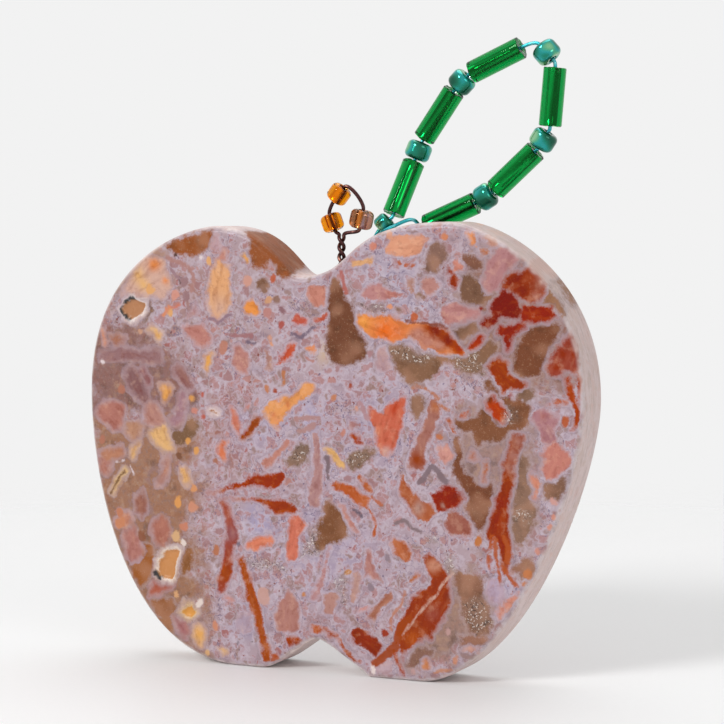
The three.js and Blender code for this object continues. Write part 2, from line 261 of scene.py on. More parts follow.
def fillFace(ring, step):  # triangles over a flat face, close-set so that the pattern has room
    low, high = ring.min(0), ring.max(0)
    rowGap, edgeGap, batch = 0.866 * step, 0.6 * step, 4000  # rows of even triangles, clear of the edge
    rows = np.arange(low[1], high[1], rowGap)
    columns = np.arange(low[0], high[0], step)
    grid = np.array([(x + (step / 2 if j % 2 else 0), z) for j, z in enumerate(rows) for x in columns])
    grid = grid[inside(grid, ring)]
    coarse = ring[::2]
    clear = np.ones(len(grid), bool)
    for i in range(0, len(grid), batch):
        gap = grid[i:i + batch, None, :] - coarse[None, :, :]
        clear[i:i + batch] = (gap ** 2).sum(2).min(1) > edgeGap ** 2
    grid = grid[clear]
    points = [Vector(p) for p in np.vstack([ring, grid])]
    edges = [(i, (i + 1) % len(ring)) for i in range(len(ring))]
    made = delaunay_2d_cdt(points, edges, [], 1, 1e-7)
    return np.array([tuple(p) for p in made[0]]), made[2], made[3]


def makeSlab():
    ring = stoneOutline()
    half, edge = stone["thickness"] / 2, stone["edgeRound"]
    turns = [math.radians(90 * i / stone["edgeSteps"]) for i in range(stone["edgeSteps"] + 1)]
    bevel = [(round(edge * (1 - math.cos(a)), 6), half - edge + edge * math.sin(a)) for a in turns]
    wall = [(0.0, y) for y in np.linspace(-half + edge, half - edge, stone["wallSteps"] + 1)[1:-1]]
    profile = [(d, -y) for d, y in reversed(bevel)] + wall + bevel
    rings = {d: inset(ring, d) for d in sorted({d for d, y in profile})}
    points, faces = [], []
    count = len(ring)
    for depth, y in profile:
        points.append(np.column_stack([rings[depth][:, 0], np.full(count, midY + y), rings[depth][:, 1]]))
    for k in range(len(profile) - 1):
        for i in range(count):
            j = (i + 1) % count
            faces.append((k * count + i, k * count + j, (k + 1) * count + j, (k + 1) * count + i))
    total = len(profile) * count
    for y, step, shell in ((-half, stone["frontStep"], 0), (half, stone["backStep"], len(profile) - 1)):
        flat, triangles, origin = fillFace(rings[edge], step)
        index = np.zeros(len(flat), int)
        extra = []
        for i, source in enumerate(origin):
            if source and min(source) < count:
                index[i] = shell * count + min(source)
            else:
                index[i] = total + len(extra)
                extra.append((flat[i][0], midY + y, flat[i][1]))
        total += len(extra)
        points.append(np.array(extra))
        for triangle in triangles:
            corners = [int(index[i]) for i in triangle]
            faces.append(corners if shell == 0 else corners[::-1])
    mesh = bpy.data.meshes.new("agateSlab")
    mesh.from_pydata((np.vstack(points) * mm).tolist(), [], faces)
    mesh.validate()
    return mesh


def drillSlab(mesh):  # the blind hole in the dip that takes the glued wire tails
    slab = bpy.data.objects.new("slabBlank", mesh)
    sides, radius = stone["holeSides"], stone["holeWidth"] / 2
    turns = [2 * math.pi * i / sides for i in range(sides)]
    ends = [(stone["holeX"] + radius * math.cos(a), midY + radius * math.sin(a), z)
            for z in (stone["holeFloor"], stone["holeTop"]) for a in turns]
    caps = [tuple(reversed(range(sides))), tuple(range(sides, 2 * sides))]
    walls = [(i, (i + 1) % sides, sides + (i + 1) % sides, sides + i) for i in range(sides)]
    drill = bpy.data.meshes.new("drill")
    drill.from_pydata((np.array(ends) * mm).tolist(), [], walls + caps)
    cutter = bpy.data.objects.new("drill", drill)
    for part in (slab, cutter):
        bpy.context.scene.collection.objects.link(part)
    cut = slab.modifiers.new("hole", "BOOLEAN")
    cut.object, cut.operation, cut.solver = cutter, "DIFFERENCE", "EXACT"
    bpy.context.view_layer.update()
    drilled = bpy.data.meshes.new_from_object(slab.evaluated_get(bpy.context.evaluated_depsgraph_get()))
    for part in (slab, cutter):
        bpy.data.objects.remove(part)
    drilled.name = "agateSlab"
    return drilled


slabMesh = drillSlab(makeSlab())
print("slab", len(slabMesh.vertices), "points")

# Brecciated agate: broken red, rust, peach and mauve pieces set in lilac chalcedony. Every patch is
# placed on the front face: a colour, then x and z in millimetres for each corner
brownPools = """
#A5602C -19.6 47 -18.2 47.6 -16.4 48.2 -14.6 48.7 -13.6 48.7 -13.7 47.6 -14 46.5 -15 46.1 -16.6 45.9 -18.2 46.2
#A46236 -9.4 48.6 -8.7 49.6 -7.2 49.4 -6.4 48.7 -5.2 48 -4.2 47.2 -3.4 46.3 -2.5 45.4 -1.9 44.5 -3.6 43.7 -5 43.5
 -5.8 44.2 -5.9 45 -6.8 45.3 -7.3 44.7 -8.4 44.6 -8.8 45.6 -9 47.4
#8C6A56 -8.4 43.2 -7.2 43.6 -6.6 42.8 -7.2 42.1 -8.2 42.3
#774629 1 43.9 1.9 43.2 2.5 42.3 2.9 41.2 3.5 40.2 3.8 39.2 3.9 38.2 4.4 37.4 5 36.7 5 35.7 4.6 34.9 3.6 34.4
 2.4 34.2 1.2 34.5 .6 35.4 .3 36.6 0 37.8 .2 39.2 .4 40.4 .6 42 .6 43
#927058 7.5 36.5 8.6 36.5 10 36.2 12 35.6 14 35.1 16 35.1 17.2 36 18.3 37.2 19.2 37 20.6 36.7 19.6 35.6 18.9 34.6
 18.5 33.6 17.2 33.6 15.8 34.2 14.2 34.4 13.2 33.9 12.6 33 11.4 32.5 10.2 32.3 9 33.1 8.2 34 7.8 35.2
#8C6252 16.2 46 17.4 46.3 18.4 45.6 18.4 44.8 17.5 44.6 16.7 45.1
#80604C 15.8 43.7 16.8 43.9 18 43.5 19 43 20.3 43 20.3 42.2 19.6 41.5 19 41 18 40.9 16.8 41.1 16 41.7 15.7 42.6
#804A2A 21.8 34 22 35.4 22.4 36.7 22.9 37.7 23.6 38.5 24.6 39 26 39 27.3 38.6 26.8 37.4 26.1 36.4 25.4 35.2
 25.1 34 24 33.5 22.8 33.3
#7A5C48 15.2 38.1 16.6 38.5 17.6 39 18.2 39 18 38.2 17.1 37.6 16.1 37.2
#AC8468 25.2 42.3 26.2 42.7 27.3 41.4 28 40.1 27.4 39.7 26.6 40.6 25.4 41.2
#826452 10.2 31 11.4 31.1 12.3 30.3 11.7 29.4 10.9 28.5 10.2 29.6
#8C5C3E 15.2 28.9 17.4 28.7 18.6 30 19.2 31.4 18.3 32.5 18.9 33 19.9 32 21.4 31.4 22.8 31 24 30 23.8 28.8
 22.8 28 21.6 27.4 20.6 26.5 19 26.5 18 26.3 17.4 27.5 16 27.7 14.9 28.1
#8E7260 22.5 32.2 23.4 32.7 24.2 31.7 23.5 30.6 22.6 31
#804A2C 15.1 27 16 26.8 16.5 25 16.3 23.7 17.4 22.3 18.4 21.4 19.4 21.9 20 21 19.8 19.4 19.2 18 18.2 16.6
 17.4 17.8 16.5 18.8 16.7 20 15.9 21.2 15.4 22.6 15.2 24.6
#9A7E6E 22.5 24.4 22.9 25.4 23.7 25 24 22 23.8 20.4 24.6 19.4 24.4 18 23.8 16.4 22.8 15.6 22.1 16.4 22 18
 22 19.6 22 21.4 22.3 23
#8A6A58 25.4 20.8 25.6 22.4 26.6 22.3 27.5 23.1 28.3 22.5 27.7 21 26.7 20.3
#84684E -20.2 27.6 -19.2 26.6 -18 26.9 -16.4 27.7 -15.6 26.8 -16.2 25.6 -17.8 24.6 -18.9 24.6
#8A7467 -4.8 23.5 -3.9 24.6 -2.8 25.3 -1.9 25.4 -1.7 24.4 -2.2 23.4 -3.2 22.9 -4.3 22.7
#8C7262 2.2 23.7 3.4 24.7 4.8 24.9 5.9 25 5.8 24.2 5 23.4 4.2 22.9 3 22.9
#845632 -1.2 13.8 -.7 16.4 0 19 .7 19.1 1.7 18.3 2.3 17.5 2.8 16.6 2.6 15.4 1.6 14.8 .5 14.2 -.4 13.6
#9A725E 15.2 11.6 15.6 12.5 16.8 12.2 18.2 12.2 18.9 11 18.7 9.8 19.4 8.9 19.6 7 19.2 6 18 5.6 17 6.4 16.4 7.6
 16.2 9 15.8 10.2
#A06A42 -22 6.8 -20 7.2 -18.8 7 -18.4 6.2 -18.8 4.8 -19.6 4.2 -21 5.2
#9C6A3C -18 12.2 -17.3 13 -16.5 13.2 -16.2 12 -16.6 10.4 -17.8 9.8
#A8682C -23 13.6 -21.6 12.8 -21.4 11 -22 9 -23.2 8.2 -24.4 10 -24.4 12
#A06C38 -21 4.6 -19.2 4.6 -18.6 3.4 -19.6 2.4
#A9806F 16 5.4 17.4 5.8 19 5.4 18.8 4.4 17 4 16 4.4
#967468 9.4 1.9 10.4 3.2 11.6 3.9 12.8 3.7 12.3 2.9 11.4 2.1 10.6 1.6
#A27A68 22 12.9 22.9 14 24.2 14.3 24.5 13 23.4 12.2
#8D7468 -22.2 41.2 -21.4 40.8 -21.3 39.6 -22 38.6 -23.4 38 -22.4 39.2
#94766C 11.8 44.4 12 46 12.6 47.3 13.8 47.2 14.2 46.3 13.7 45.4 13.4 44.3 12.4 44.1
"""

brokenPieces = """
#E0B183 -14.3 43.8 -13.6 44.9 -12.9 45.6 -11.8 45.2 -11.3 44.3 -11.4 42.5 -11.4 40.4 -12 39.4 -13 39 -13.9 39.3
 -14.4 40.5 -14.4 42
#C39083 -12.9 45.6 -12.2 46.9 -11.6 46.6 -11.7 45.5
#D0B3A6 -25.5 41.5 -22.5 46 -20 45.5 -19 42.5 -20 41 -23 41.2
#E3C08A -22.4 37.3 -21.7 37.8 -20.9 37.7 -20.6 37.2 -20.1 37.3 -20.2 36.6 -20.6 36.2 -21.1 36.3 -21.3 36.9
#B8847C -17.6 38 -16 38.2 -14.8 38 -14 37 -14.4 36.2 -15.4 35.8 -16.2 36 -16.8 36.8
#AD7D63 -26.9 36.6 -25.9 36.9 -24.9 36.5 -25 36 -26 35.7
#D99A78 -28.1 37.3 -27.6 37.3 -27.5 36 -27.9 35.8
#A87C7C -16.9 39.1 -16.4 40.2 -15.8 40.6 -15.8 39.6
#B9A2AC -13.9 46.6 -13.5 48.3 -12.9 48.2 -12.5 46.8
#E6B060 -10.2 46.1 -9.6 46.3 -9.1 45.7 -9.1 45.2 -9.6 45.4
#E8A053 -10 40.2 -9.6 40.8 -8.9 41.1 -8.1 40.8 -7.7 40.1 -8 39.7 -8.8 39.5 -9.7 39.7
#C58D7E -1.9 41.7 -1.6 42.5 -.8 42.7 0 42.5 .3 41.6 0 40.8 -.8 40.5 -1.6 40.9
#C2695A -4 39.2 -3 39.7 -2.2 39.2 -2 38.6 -3 38.4 -4 38.8
#BF6654 -1.3 39.2 -.4 39.6 .3 39.9 .2 39.4 -.4 38.8 -1.2 38.7
#C76750 -5.7 34 -5.2 35 -4.5 36 -3.9 36.5 -3.2 36.4 -3.3 35.5 -3.8 34.9 -4.6 34.6
#DD9A70 -2.4 35.9 -1.6 36.2 -.9 36.3 -.9 35.3 -1.8 35.2
#B68680 -11.2 35.8 -10.2 36 -9.3 35.2 -9.3 34 -9.6 33.2 -10.6 33 -11.2 33.6
#E3AF5E -14.6 34.8 -14.2 35.6 -13.7 35.2 -13.7 34.2 -14.2 32.7 -14.6 33.6
#A28078 -7 33.2 -6.9 35.4 -6.3 35.3 -6.3 33.2
#DDA78A 7.4 46.2 7.6 47.2 8 48 9 48.4 10 48.1 11.3 48.4 12.5 48.3 12.7 47.7 11.8 47.4 11.3 46.6 10.5 46 9.2 46.1
#DCB283 3.1 44.8 3.1 45.4 4.2 45.7 5.3 45.9 6 45.9 5.9 45.4 4.8 45 3.6 44.7
#B98B8C 4.3 42 5 42.8 6 43 7.2 42.6 8.4 42.4 9 42.1 8.2 41.6 7 41.2 5.6 41.4
#8B7F8C 4 41 5 40.6 6 40.8 7.1 40.9 7 39.8 6 39.8 5.2 40.1
#8A7466 8.2 39.9 8.5 40.6 9.2 40.5 9.4 39.9 8.8 39.7
#A48279 9.4 43 9.6 43.7 10.2 43.5 10.5 42.8 10.4 42.2 9.8 42.6
#B68A84 11.2 43.3 11.8 43.8 13 43.7 13.8 43.2 13.2 42.4 12.4 42.1 11.6 42.5
#8F7868 10.8 41.8 11.2 42.5 11.9 41.9 11.7 41.3
#E39250 3.8 38.9 4.1 39.6 5 39.7 6.4 39.4 8 39.3 9.4 39.1 10.4 39 11.6 39 13 38.9 14.2 38.6 15.1 37.8 15.5 37
 16.1 36.2
 16.6 35.4 15.4 35.4 14.2 35.5 13.4 35.7 12.8 36.1 12 36.1 11 36.7 10 37.2 9 37.1 8.2 36.8 7.4 37.1 6.2 37.2 5.2 37.7
 4.3 38.4
#AD969F 6 34 6.4 36.2 7.2 36.4 7.3 35 7.8 34 6.8 33.6
#B8898A 13.4 39.6 14 40.6 15 41.2 16.5 40.7 18 40.5 18.1 39.8 17 39.3 15.6 38.9 14.3 39
#E5A06A 16.6 48.8 17.4 48.8 17.8 48 17.8 47.2 17.2 47.6
#B9794F 18 46.9 18.6 46.8 19 46.2 18.6 46
#BE9484 18.4 48.2 20 48 20.2 47 19 47
#CF9384 14.9 45.8 15.6 45.9 16.4 45 16.3 44.5 15.3 44.6
#9E4526 14.5 45.2 15 44.8 15.4 44.2 15.6 43.6 15.3 42.8 14.6 43 14.4 43.6 14.7 44.2 14.3 44.6
#AE8388 18.2 43.4 18.6 44.4 19.2 45.6 20 46.8 20.6 47.2 21.6 46.8 22.2 46.2 22.3 45.4 21.6 44.7 21 43.9 20.4 42.7
 19.4 42.5 18.5 42.6
#A2543A 20.7 42.7 21.2 43.7 22 44.3 22.9 44.3 23.5 45.1 24.1 45.5 24.9 45 25.3 44.2 25.7 43.2 25.4 42.3 25 41.6
 24.2 41.3 23.4 41.4 22.7 41.7 22 42.1 21.3 42.3
#8C2000 19.3 41.2 20 41.9 20.8 42.5 21.8 42.3 22.3 41.5 22.5 40.7 23 40.2 22.5 39.6 21.4 39.5 20.5 39.8 19.9 39.3
 19.3 38.7 18.6 38.5 18.2 39 18.5 39.7 19.4 40 19.3 40.5
#A03000 22.7 40.1 22.9 41.1 24 41.2 25.2 40.9 26.5 40.8 26.7 39.8 25.9 39.2 24.8 39.2 23.8 39.1 22.9 39.4
#9A2C00 23.2 39.3 22.2 39.2 21.2 38.9 20.2 38.8 20 37.8 20.4 37.4 21 37.6 21.1 36.8 21.4 36.1 21.9 36.9 22 37.7
 22.5 38.1 23.2 38.5
#AC3C0C 16.5 36.2 17.2 37 18.2 37.7 18.7 37.9 18.6 37.2 17.7 36.5 17 35.9
#A2460C 18.9 34.7 19.6 35.4 20.5 35.7 21.3 35.3 21.5 34.4 21.5 33.7 22.3 33.3 23.4 33 23.3 32.4 22.4 32.2 21.6 32.4
 20.6 31.7 20.1 32.4 19.6 33.4
#B84A10 19 30.9 19.5 31.4 20.2 30.8 20.9 30.1 21.3 29.2 21 28.5 20.3 28.5 19.7 29.2 19.1 30
#A2584A 25.4 34.4 26.2 36 27.2 36.8 27.8 37.8 28.6 38.6 29.2 37.2 29.5 36 29.6 34.4 28.6 33.8 27.6 34.2
 26.8 33.6 25.9 33.4
#AE7A70 -28.9 27.8 -28.4 28.8 -27.5 29.4 -26 29.2 -25.1 28.6 -25.1 26.6 -25.6 25.8 -26.6 25.6 -27.4 26.4 -28.4 27.2
#8C6C6E -25.2 32.9 -24 33.5 -22.7 31.9 -21.9 30 -22.5 29.1 -23.6 29.5 -24.7 31
#94767A -28.2 35.1 -26 35.6 -23 35.4 -20.4 35.2 -20.1 34 -22 33.7 -24 34.1 -26 33.9 -28.2 33.7
#93686A -23.3 32.6 -22.6 33.2 -21.8 32.2 -21.7 31.2 -22.3 31.2
#E1AC62 -20.6 30.6 -20.4 31.5 -19.7 31.5 -19 31 -19.2 30 -19.8 29.2 -20.3 29.6
#946C6A -19 33.3 -17.8 33.6 -16.7 32.5 -15.8 31.4 -16.4 30.8 -17.4 31.2 -18.5 32.1
#A08390 -18 30.4 -17 30.6 -16.8 29.6 -17 28.4 -17.4 27.2 -18.2 26.6 -19.3 26.8 -19.4 27.4 -18.6 28 -18.2 29
#AE857C -22.6 27.2 -22.6 28.8 -22 29.6 -21.2 29.4 -20.2 28.2 -19.9 27 -20.4 26.6 -21.6 26.6
#E0BC84 -22 25.6 -21.5 26.6 -20.3 26.9 -19.9 26.9 -19.4 25.6 -18.8 24.2 -19 23.6 -20 23.8 -21 24.4 -21.7 24.9
#B08A70 -25 25.4 -24.6 27 -23.4 27.2 -22.7 26.6 -22.9 25.4 -24 25
#E0BB80 -24.4 24.2 -23.6 24.5 -23 25 -22.9 24.6 -23.3 23.6 -23.9 22.7
#B58468 -28.4 23.4 -27 23.8 -25.6 24.2 -25.2 23.6 -26 22.8 -27.6 22
#B08A80 -21 19.6 -20.6 21.4 -20.2 23.2 -19.4 23.5 -19.3 22.6 -19.8 21 -20.2 19.8
#E0B87E -17.9 22.2 -17.2 22.3 -16.6 21.6 -16.6 20.4 -17.2 19.9 -17.8 20.3
#E2A566 -7.2 29.4 -6.6 29.9 -5.8 30.1 -5 30.4 -4 30.5 -3 31.3 -2.5 32.2 -1.8 32 -1.1 31.9 -1.3 31.2 -2.2 30.4
 -3 29.9 -4 29.2 -4.6 28.8 -5.2 27.6 -5.6 26.9 -6.2 27.2 -6.8 28 -7.2 28.4
#A05A34 -10.4 25.7 -9.9 26.7 -9.1 27.6 -8.3 28.4 -7.4 28.2 -8.1 27.2 -8.9 26.3 -9.8 25.5
#C97F6A -11.6 29.2 -11.2 29 -10.7 28 -10.4 27 -10.4 26.2 -11 26.4 -11.4 27.2
#C68378 -9.7 28.6 -9.4 29.3 -8.7 29.6 -9 28.9
#D47E58 -13.1 24.4 -12.5 25.2 -11.8 25.4 -12.2 24.6 -12 23.6 -12.4 23.2 -12.9 23.6
#B98579 -8 23.2 -6.4 23.8 -5.6 24.8 -4.8 25.7 -4.2 25.9 -4.1 25.4 -5 24.6 -5.6 23.8 -6.4 22.8 -7.4 22.6
#A44006 -14.8 19.2 -13 19.7 -11.4 20.2 -10.2 20.7 -9.4 21.3 -8.6 21.7 -7.4 21.9 -6.2 22 -5 22.1 -4.4 21.7 -4.9 20.9
 -5.4 20.3 -6.4 20.2 -7.2 20.5 -8.4 20.5 -9.6 20.3 -10.8 19.9 -12.4 19.4
#A4460A -11.6 18.9 -9.6 18.9 -8 19 -6.8 19.1 -5.6 19.1 -4.6 18.7 -3.8 18.4 -2.8 17.9 -3.8 17.4 -5 17.3 -6 17.6
 -7 18.2 -8.6 18.5
#AB8A8C -1.3 26.6 -.6 26.8 -.3 25 -.2 21 -.6 19 -1 18.1 -1.8 18.3 -2 19.4 -1.7 20.6 -1.4 22 -1.2 24
#C9725C 5.4 29.7 6.25 29.3 7 29.4 7.2 30 8 30.3 8.9 30.8 9.8 31.1 9.8 30.1 9.55 28.5 9.3 27.4 8.75 26.2 8.1 25.2
 7.5 24.6 6.6 24.75 6.1 25.6 5.8 27.25 5.4 28.3
#A84E2E 3.3 26.8 4.1 26.6 4.6 25.6 4.4 25.2 3.7 25.8
#A27878 2.7 28 3.6 28 4.3 27.4 3.4 27.3
#E2BE80 .1 25 .7 25.1 1.5 24.4 2.2 23.5 2.2 23 1.5 23.1 .6 23.9
#B9693F .5 20.7 1.2 21.3 2.2 21.1 3.2 20.9 4.3 20.3 5.3 20 5.7 19.7 5.4 19 5.6 18.2 6 17.6 6.2 16.8 6.1 15.8
 5.7 15.8 5.8 16.9 5.4 18 5 18.7 4.4 19 3.4 19.3 2.6 19.8 1.6 20.3
#B56C44 3.5 22 3.9 22.3 4.6 21.7 5.3 21.2 5.8 20.6 5.4 20.4 4.6 20.8
#B98880 1.9 18.9 2.4 18.7 3 17.8 3.6 17 4 16 3.4 16 2.8 17 2.2 18
#A4746A 12.7 30.8 13.4 31 13.8 30 13.6 29 13.2 28 13 27 12.4 26 12 25.2 12 24.2 11.6 23.2 10.8 23 9.8 23.2 10.1 24.2
 10.5 25.2 10.9 26 11.3 27 11.8 28.4 12.4 29.8
#B2663C 14.1 28.6 14.4 29 14.7 28.4 15.5 27.3 15 27.4
#CC9C94 13.2 25.6 14.4 26 15.3 24.8 14.4 23.6 13.4 24.2
#9A2C00 12.4 20.5 13.4 21.1 14.4 21.7 15.3 21.3 16.4 20 15.5 19.2 14.6 19.4 14 18.8 13.5 18.4 12.9 19.4
#B06A48 9 21.3 9.4 22.5 9.9 21.6 10.5 20.5 11.1 19.7 12.4 19.3 13.2 18.3 12.2 17.6 11 18 9.8 19 9.2 20
#B9643C 15.7 29 16.2 29.6 16.8 29.7 16.5 29.1
#A04A20 22.9 27.5 22.2 27.4 21.5 26 21.1 24.6 20.7 23 20.5 21.8 20 20.4 19.6 19 19.2 17.4 19 16 19.5 15.4 20.1 16.2
 20.3 15 20.7 13.4 21.2 12.2 21.8 13.8 21.6 15.4 21.7 16.8 21.4 18.2 21.4 19.6 21.6 21 22 22.4 22.2 24 22.6
 25.4 23.1 26.7
#A0685C 14.5 17.4 14.7 18.7 15.6 19.1 16.5 18.1 17.5 17 17.1 16.1 15.8 16.3 14.9 16.5
#B07A66 17.1 24.9 17.6 25.8 18.3 24.4 17.2 24.4
#B27250 18.6 24.1 19.2 24.2 19.2 23.6 18.8 23 18.7 22 18.3 22
#C08278 25.1 25 25.5 26.5 26.4 27 27.7 25.9 28.6 25.3 28.4 24.3 27.2 23.3 26 22.7 25.1 22.9
#AA808A 23.9 29.3 24.6 30.2 26 30.2 27.1 29.1 26.5 28.2 26.8 27 26 26.5 25.1 26.8 24.7 28
#B45E38 25.7 30.8 27 31.2 28.2 31.1 28.2 30.7 27 30.6
#AC4E24 27.5 33.4 28 32.2 28.3 31.2 28.5 30.2 28.8 29 28.4 28.1 29.2 28.2 29.6 29.6 29.2 30.6 28.9 31.6
 28.5 32.7 28 33.6
#AC4E24 29 34 29.6 33.6 29.7 32.2 29.3 31.2 28.9 32.2
#D09078 24 22.8 24.2 23.4 24.8 22.8 25.2 22.4 24.9 21.6 24.8 21 24.4 20.6 24 21 24.5 21.8
#AD7B74 -25.5 13.6 -25 14.8 -24 14.9 -23.1 13.8 -22.8 12.2 -23.4 11 -24.4 10.8 -25.2 11.8
#C08A70 -26.6 15.6 -26 16.8 -24.8 16.6 -24.2 15.6 -25 14.9 -26.2 14.8
#9C6E60 -24 16.6 -23.8 18.4 -23 19.4 -22.4 18.4 -22.4 16.8 -23 15.8
#B08074 -28.8 22 -28 23 -27 22.6 -27 21.2 -27.8 20.6
#AC7668 -21.7 14.6 -21.4 15.8 -20.6 16.4 -19.6 15.8 -19.1 14.4 -19.8 13.2 -21 13
#B06A58 -22.2 7.2 -21.9 8 -21.4 9 -20.4 8.5 -19 8.4 -19.4 8 -20.6 7.6
#A8777A -18.8 4.8 -17.4 4.6 -16.8 3.4 -17.4 2.6 -18.4 3.2
#E0BC8E -16.6 3 -16.3 4.2 -15.6 4.6 -14.9 4 -14.8 2.6 -15.2 1.7 -16 1.9
#A4584A -12.8 18.8 -12 18.6 -11.3 17.5 -10.9 16 -10.9 14 -11.1 12 -11.5 10.3 -12.1 9 -12.9 8.1 -13.3 8.7 -13 10
 -12.7 11.4 -12.5 13 -12.3 14.6 -12.3 16 -12.5 17.4
#D9886A -9.7 13.5 -9.2 14.2 -8.4 14.7 -7.4 14.8 -6.6 14.8 -6.2 14.3 -6.7 13.8 -7.6 13.4 -8.4 13 -9.3 13.1
#D07E68 -4.3 16.6 -3.8 17.1 -3 17.6 -2.2 17.3 -1.9 16.6 -2.3 15.8 -2.9 15 -3 14.2 -3.1 13 -3.6 12.4 -4.5 12.3
 -4.8 13 -4.7 14 -4.5 15
#AC5C2C -10.4 12.1 -9.9 12.4 -9.3 11 -8.9 9.4 -8.3 7.6 -7.8 6 -7.4 4.4 -7 3 -6.6 2 -6.6 .8 -7.6 .6 -7.7 2 -8 3.4
 -8.4 4.8 -8.9 6 -9.5 7.4 -10 9 -10.4 10.4
#B4603C -6.5 1.8 -6 2 -5.4 1.5 -5.4 1 -6.4 .8
#AE8078 -6.4 6.2 -5.8 7 -5.4 7.8 -4.8 8.2 -4.4 9.2 -3.8 8.6 -3.3 7.6 -3.2 6.2 -3.2 4.8 -3.6 4.2 -5.6 4.2 -5.8 5.4
#AB5632 -4.7 3.2 -4.3 3.8 -3.4 3.9 -2.8 3.5 -3.2 3 -4.6 2.8
#CB8C80 -12.4 7.6 -11.6 7.9 -11 7.4 -11.7 7.2
#E0BE82 -13.2 1.6 -12.7 2.1 -12.2 1.9 -12 1.1 -12.5 .8
#B48C90 -1.9 8 -1.2 8.2 -.4 10 .1 11.6 .6 13 1.1 13.8 .9 14 .2 13 -.4 11.6 -1 10
#B5623A -1.7 5 -1.2 5.5 -.4 5.3 .2 5 .3 4.6 -.9 4.4
#AE6040 -.2 5.2 .4 5.3 1.4 4.3 2.4 3.2 3.4 2.2 4.2 1.6 3.6 1.5 2.6 2.4 1.4 3.6 .4 4.6
#963808 3 4.6 3.4 5.2 4.2 5.7 5 5.4 5.6 4.8 6.4 4.2 7 3.5 6.6 2.8 6 2.4 5.2 2.9 4.4 3.2 3.6 3.6
#A24A24 9.2 2.4 9.6 3.4 10.2 3.6 11 4.2 11.9 4.9 12.7 4.9 13 5.8 13.8 6.6 14.6 7.8 15 9.2 14.8 10.6 14.5 11.8
 13.9 13 13.2 13.8 12.4 14.2 11.8 13.8 12 12.6 12.4 11.6 12.2 10.6 11.4 9.8 10.6 9.2 9.9 8.4 9.5 7.4 9 6.2
 8.6 5.2 8.8 4
#B9714A 7.8 15 8.2 15.8 8.8 15.4 9.6 14.8 10.2 14 10.1 13.1 9.2 13.2 8.6 13.8
#B9703F 10 10.6 10.6 11.8 11.2 12.1 10.9 11.4
#AE807C 4.7 13.6 5 14.2 5.5 13.8 5.8 12.8 6.6 11.4 6.8 10.7 6 10.8 5.2 11.2 4.6 11 4.8 12.4
#A8745E 5.3 6.8 6 7.8 6.8 8.8 7.4 9.6 8 9.7 8 9 7.2 8.2 6.6 7.2 6 6.2
#D9907C 4.1 7.2 4.8 7.8 5.4 8.2 5.2 7.6
#B0918C 3 8.2 3.4 10.4 3.6 11.6 4.1 11.2 4 9.6 3.5 8
#B05A3E 8.1 3.4 8.4 3.2 8.9 2 9.4 1 9.6 .5 9.2 .6 8.7 1.4 8.3 2.2
#C2B4BE 6.2 .8 6.6 2 8 2 8.4 1 7.4 .6
#C98A5C 11.7 1.4 11.8 2.4 12.1 2.8 12.5 2 12.5 1.2
#B08A82 0 7.3 0 8.9 1.2 9.1 1.7 8.4 1.2 7.3 .6 6.7
#CF9483 20.2 8 20.6 8.8 21.3 9.6 22.2 10.2 22.8 10.8 22.6 9.8 21.8 9 21 8.2 20.5 7.4
#C6A096 16 3.8 17 4.3 18 4.1 17.4 3.6
#ABA3B6 -10.6 4 -10.8 5.2 -10 6.2 -9 5.6 -8.8 4.4 -9.8 3.7
#B3A9BE 19.2 9.6 19.4 11.6 20.4 12 21.2 11 21 9.6 20 9.2
"""

# Soft changes of colour inside the broken pieces: colour, then x, z and radius of each
innerTints = """
#D3B3A0 -12.8 40.2 1.4
#E3BC7E -23.2 43.6 1.2 -22.4 42.6 .8
#E0914A -21 45 .8
#E59B62 -19.9 43.1 .5
#E3B468 -21 36.9 .5 -15.6 3.1 .7
#C39E98 12.4 48 1
#C0857C 8 42 .8
#B97852 12.6 44.6 .8
#DE7F45 8.6 38 1
#B27A6C 11.2 37.4 1.3
#8A2200 13 38.3 1.7 14.6 37.3 1.4
#A83C0A 15.7 36.1 1.1
#F4B05C 4.7 38.9 .9
#EA7A2C 7.2 38 1.1
#B97B62 12 36.8 .6
#B98474 10.8 37.4 1 12.4 36.9 1 13.6 36.7 .9
#8E2C0C 23 42.6 .9 21.9 43.1 .7 22.6 43.6 .6
#B07A6C 24.9 43.4 .8 24.6 42.2 .5
#A04A30 28.9 36 .6 26.6 34.8 .6 27.4 35.9 .5
#B97E58 -20 21.6 .6
#E0A070 -5.6 27.8 .8
#D07A4A -6.3 28.4 .35 -4.4 29.7 .3 -5.7 30.2 .35 -5.3 27.3 .3
#A94E28 -9.9 26.5 .5
#A87A70 -8 28.6 .6
#B06A3E -13.6 19.5 1.6 -10.6 18.7 .9
#A88A80 14 19.6 .5 11 19 .8
#6A3418 19.3 31 .5
#C9846A 20.9 28.9 .4
#D58A6A 6.2 27.2 .8
#C6A39C 7.2 25 .6
#C4604A 8.6 29.6 .8
#B5744E 13.2 30 .7
#A0522C 11 24.2 1.1
#8A2A10 15.4 20.4 .5
#A8766A 22.5 26.6 1 22 25 1 21.6 23.6 .8
#9C3400 20.5 20 1.6 20.3 17.8 1.4 20.6 15.6 1.2
#A8706F 25.4 29.4 .6
#E5B468 -15.7 3.3 .5
#9C6A6E -11.6 15 1.4
#AE5A26 -12.2 10.6 1.4
#B4602E 10.6 4.8 1.4
#A0584A 13 7.6 1.5
#C08C72 12.9 12.9 1.1
#8F4838 14.7 9.4 .7
#9E3A1C 5 4.4 .9
"""

